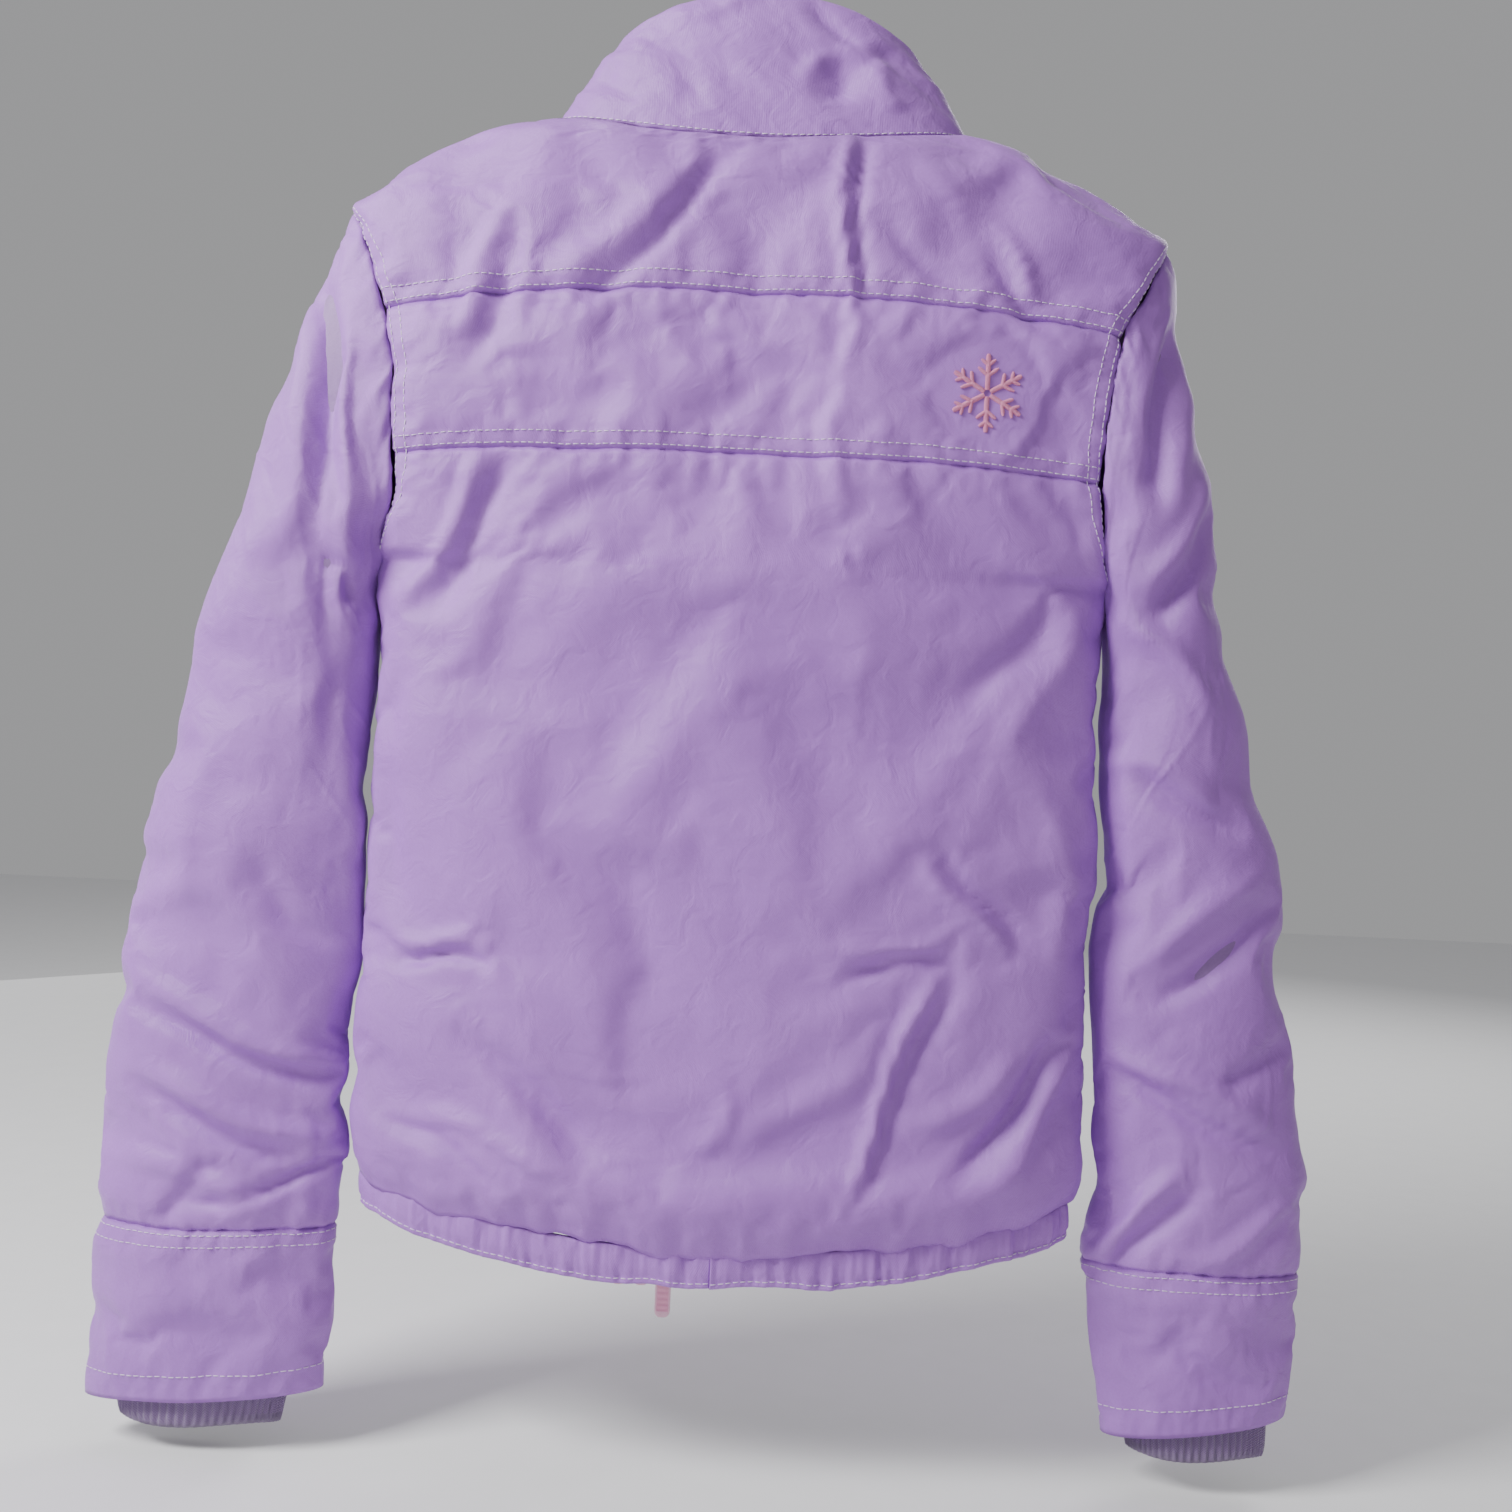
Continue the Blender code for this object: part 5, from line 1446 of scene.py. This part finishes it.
def make_label():
    """A blank woven label with a turned edge, stitched all round."""
    low, high = garment_box("neck_label")
    label = box_with_rounding("neck_label_cloth", low, high, MATERIALS["label"], 0.25)
    place(label, "torso", "lining_fabric", "neck_label")
    y, pad = low[1] - 0.05, 1.6
    a, b, c, d = low[0] + pad, high[0] - pad, low[2] + pad, high[2] - pad
    corners = [(a, c), (b, c), (b, d), (a, d), (a, c)]
    paths = []
    for (x0, z0), (x1, z1) in zip(corners[:-1], corners[1:]):
        line = np.stack([np.linspace(x0, x1, 20), np.full(20, y), np.linspace(z0, z1, 20)], axis=1)
        paths.append((line, np.tile([0.0, -1.0, 0.0], (20, 1))))
    stitches("neck_label_stitching", paths)


def surface_at(grid, normal, x, z):
    """The nearest grid point's place and normal, moved to x and z."""
    flat = grid.reshape(-1, 3)
    near = np.argsort((flat[:, 0] - x) ** 2 + (flat[:, 2] - z) ** 2)[:4]
    weight = 1.0 / (np.hypot(flat[near, 0] - x, flat[near, 2] - z) + 0.2)
    weight /= weight.sum()
    up = (normal.reshape(-1, 3)[near] * weight[:, None]).sum(axis=0)
    return np.array([x, (flat[near, 1] * weight).sum(), z]), up / np.linalg.norm(up)


def make_embroidery(grids):
    """A snow crystal in satin stitch: six arms with two pairs of side branches each."""
    grid = grids["back"]
    normal = outward_normals(grid)
    bars = []
    for arm in range(6):
        turn = math.tau * arm / 6
        axis = np.array([math.sin(turn), math.cos(turn)])
        bars.append((axis * 2.0, axis * 20.5, 2.6))
        for at, length in ((9.0, 6.5), (14.5, 4.6)):
            for lean in (-1, 1):
                angle = turn + lean * math.radians(52.0)
                tip = axis * at + length * np.array([math.sin(angle), math.cos(angle)])
                bars.append((axis * at, tip, 2.0))
    points, faces = [], []
    for start, end, width in bars:
        run = (end - start) / np.linalg.norm(end - start)
        side = np.array([run[1], -run[0]])
        for reach in np.arange(0.0, np.linalg.norm(end - start), 0.5):
            near_end = min(1.0, 0.55 + (np.linalg.norm(end - start) - reach) * 0.3)
            line, ups = [], []
            for a, rise in ((-0.5, -0.1), (-0.28, 0.5), (0.28, 0.5), (0.5, -0.1)):
                spot = start + run * reach + side * width * a * near_end
                place_at, up = surface_at(grid, normal, MOTIF_CENTRE[0] + spot[0], MOTIF_CENTRE[1] + spot[1])
                line.append(place_at + up * (rise + 0.25))
                ups.append(up)
            faces += bar_faces(len(points), 4, 4)
            points += list(strip_points(np.array(line), np.array(ups), 0.27, 0.24))
    crystal = solid("back_snow_crystal", points, faces, MATERIALS["satin"])
    place(crystal, "torso", "embroidery_thread", "back_embroidery")


# ---------------------------------------------------------------- stage, lights and camera
def make_stage():
    """A pale floor below the cuffs."""
    level = -0.722
    points = [(-3.0, -3.0, level), (3.0, -3.0, level), (3.0, 3.0, level), (-3.0, 3.0, level)]
    floor = mesh_object("floor", points, [(0, 1, 2, 3)])
    floor.data.materials.append(floor_material())


def add_light(name, spot, target, size, power):
    """A soft square light aimed at a point."""
    lamp = bpy.data.lights.new(name, "AREA")
    lamp.size, lamp.energy = size, power
    made = bpy.data.objects.new(name, lamp)
    bpy.context.scene.collection.objects.link(made)
    made.location = spot
    made.rotation_euler = (Vector(target) - Vector(spot)).to_track_quat("-Z", "Y").to_euler()


def make_lights():
    """Key light from the upper left of the camera's view, weak fills and a pale world."""
    add_light("key", (1.05, 0.62, 0.55), (0.0, 0.0, -0.3), 0.5, 36.0)
    add_light("camera_fill", (-0.9, 1.4, -0.1), (0.0, 0.0, -0.35), 1.4, 0.5)
    add_light("front_key", (-0.9, -1.5, 0.6), (0.0, 0.0, -0.35), 1.0, 16.0)
    add_light("front_fill", (1.2, -1.2, -0.1), (0.0, 0.0, -0.35), 1.4, 4.0)
    scene = bpy.context.scene
    if scene.world is None:
        scene.world = bpy.data.worlds.new("studio")
    scene.world.use_nodes = True
    background = scene.world.node_tree.nodes["Background"]
    background.inputs["Color"].default_value = (0.93, 0.93, 0.95, 1.0)
    background.inputs["Strength"].default_value = 0.38


def make_camera():
    """The camera behind the jacket, level with its middle and rolled slightly."""
    camera = bpy.data.cameras.new("camera")
    camera.lens = camera.sensor_width = 36.0
    made = bpy.data.objects.new("camera", camera)
    bpy.context.scene.collection.objects.link(made)
    roll = math.radians(2.65)
    right, up = (-math.cos(roll), 0.0, math.sin(roll)), (math.sin(roll), 0.0, math.cos(roll))
    columns = (right, up, (0.0, 1.0, 0.0), (-0.0113, 0.7985, -0.3383))
    made.matrix_world = Matrix([[c[i] for c in columns] for i in range(3)] + [[0.0, 0.0, 0.0, 1.0]])
    bpy.context.scene.camera = made


make_camera()
cloth = make_grids()
dress_body(cloth)
dress_sleeves(cloth)
make_linings()
make_ribs()
make_collar()
make_hem()
make_front_zips()
make_pockets()
finish_hardware()
make_loop()
make_label()
make_embroidery(cloth)
make_stage()
make_lights()
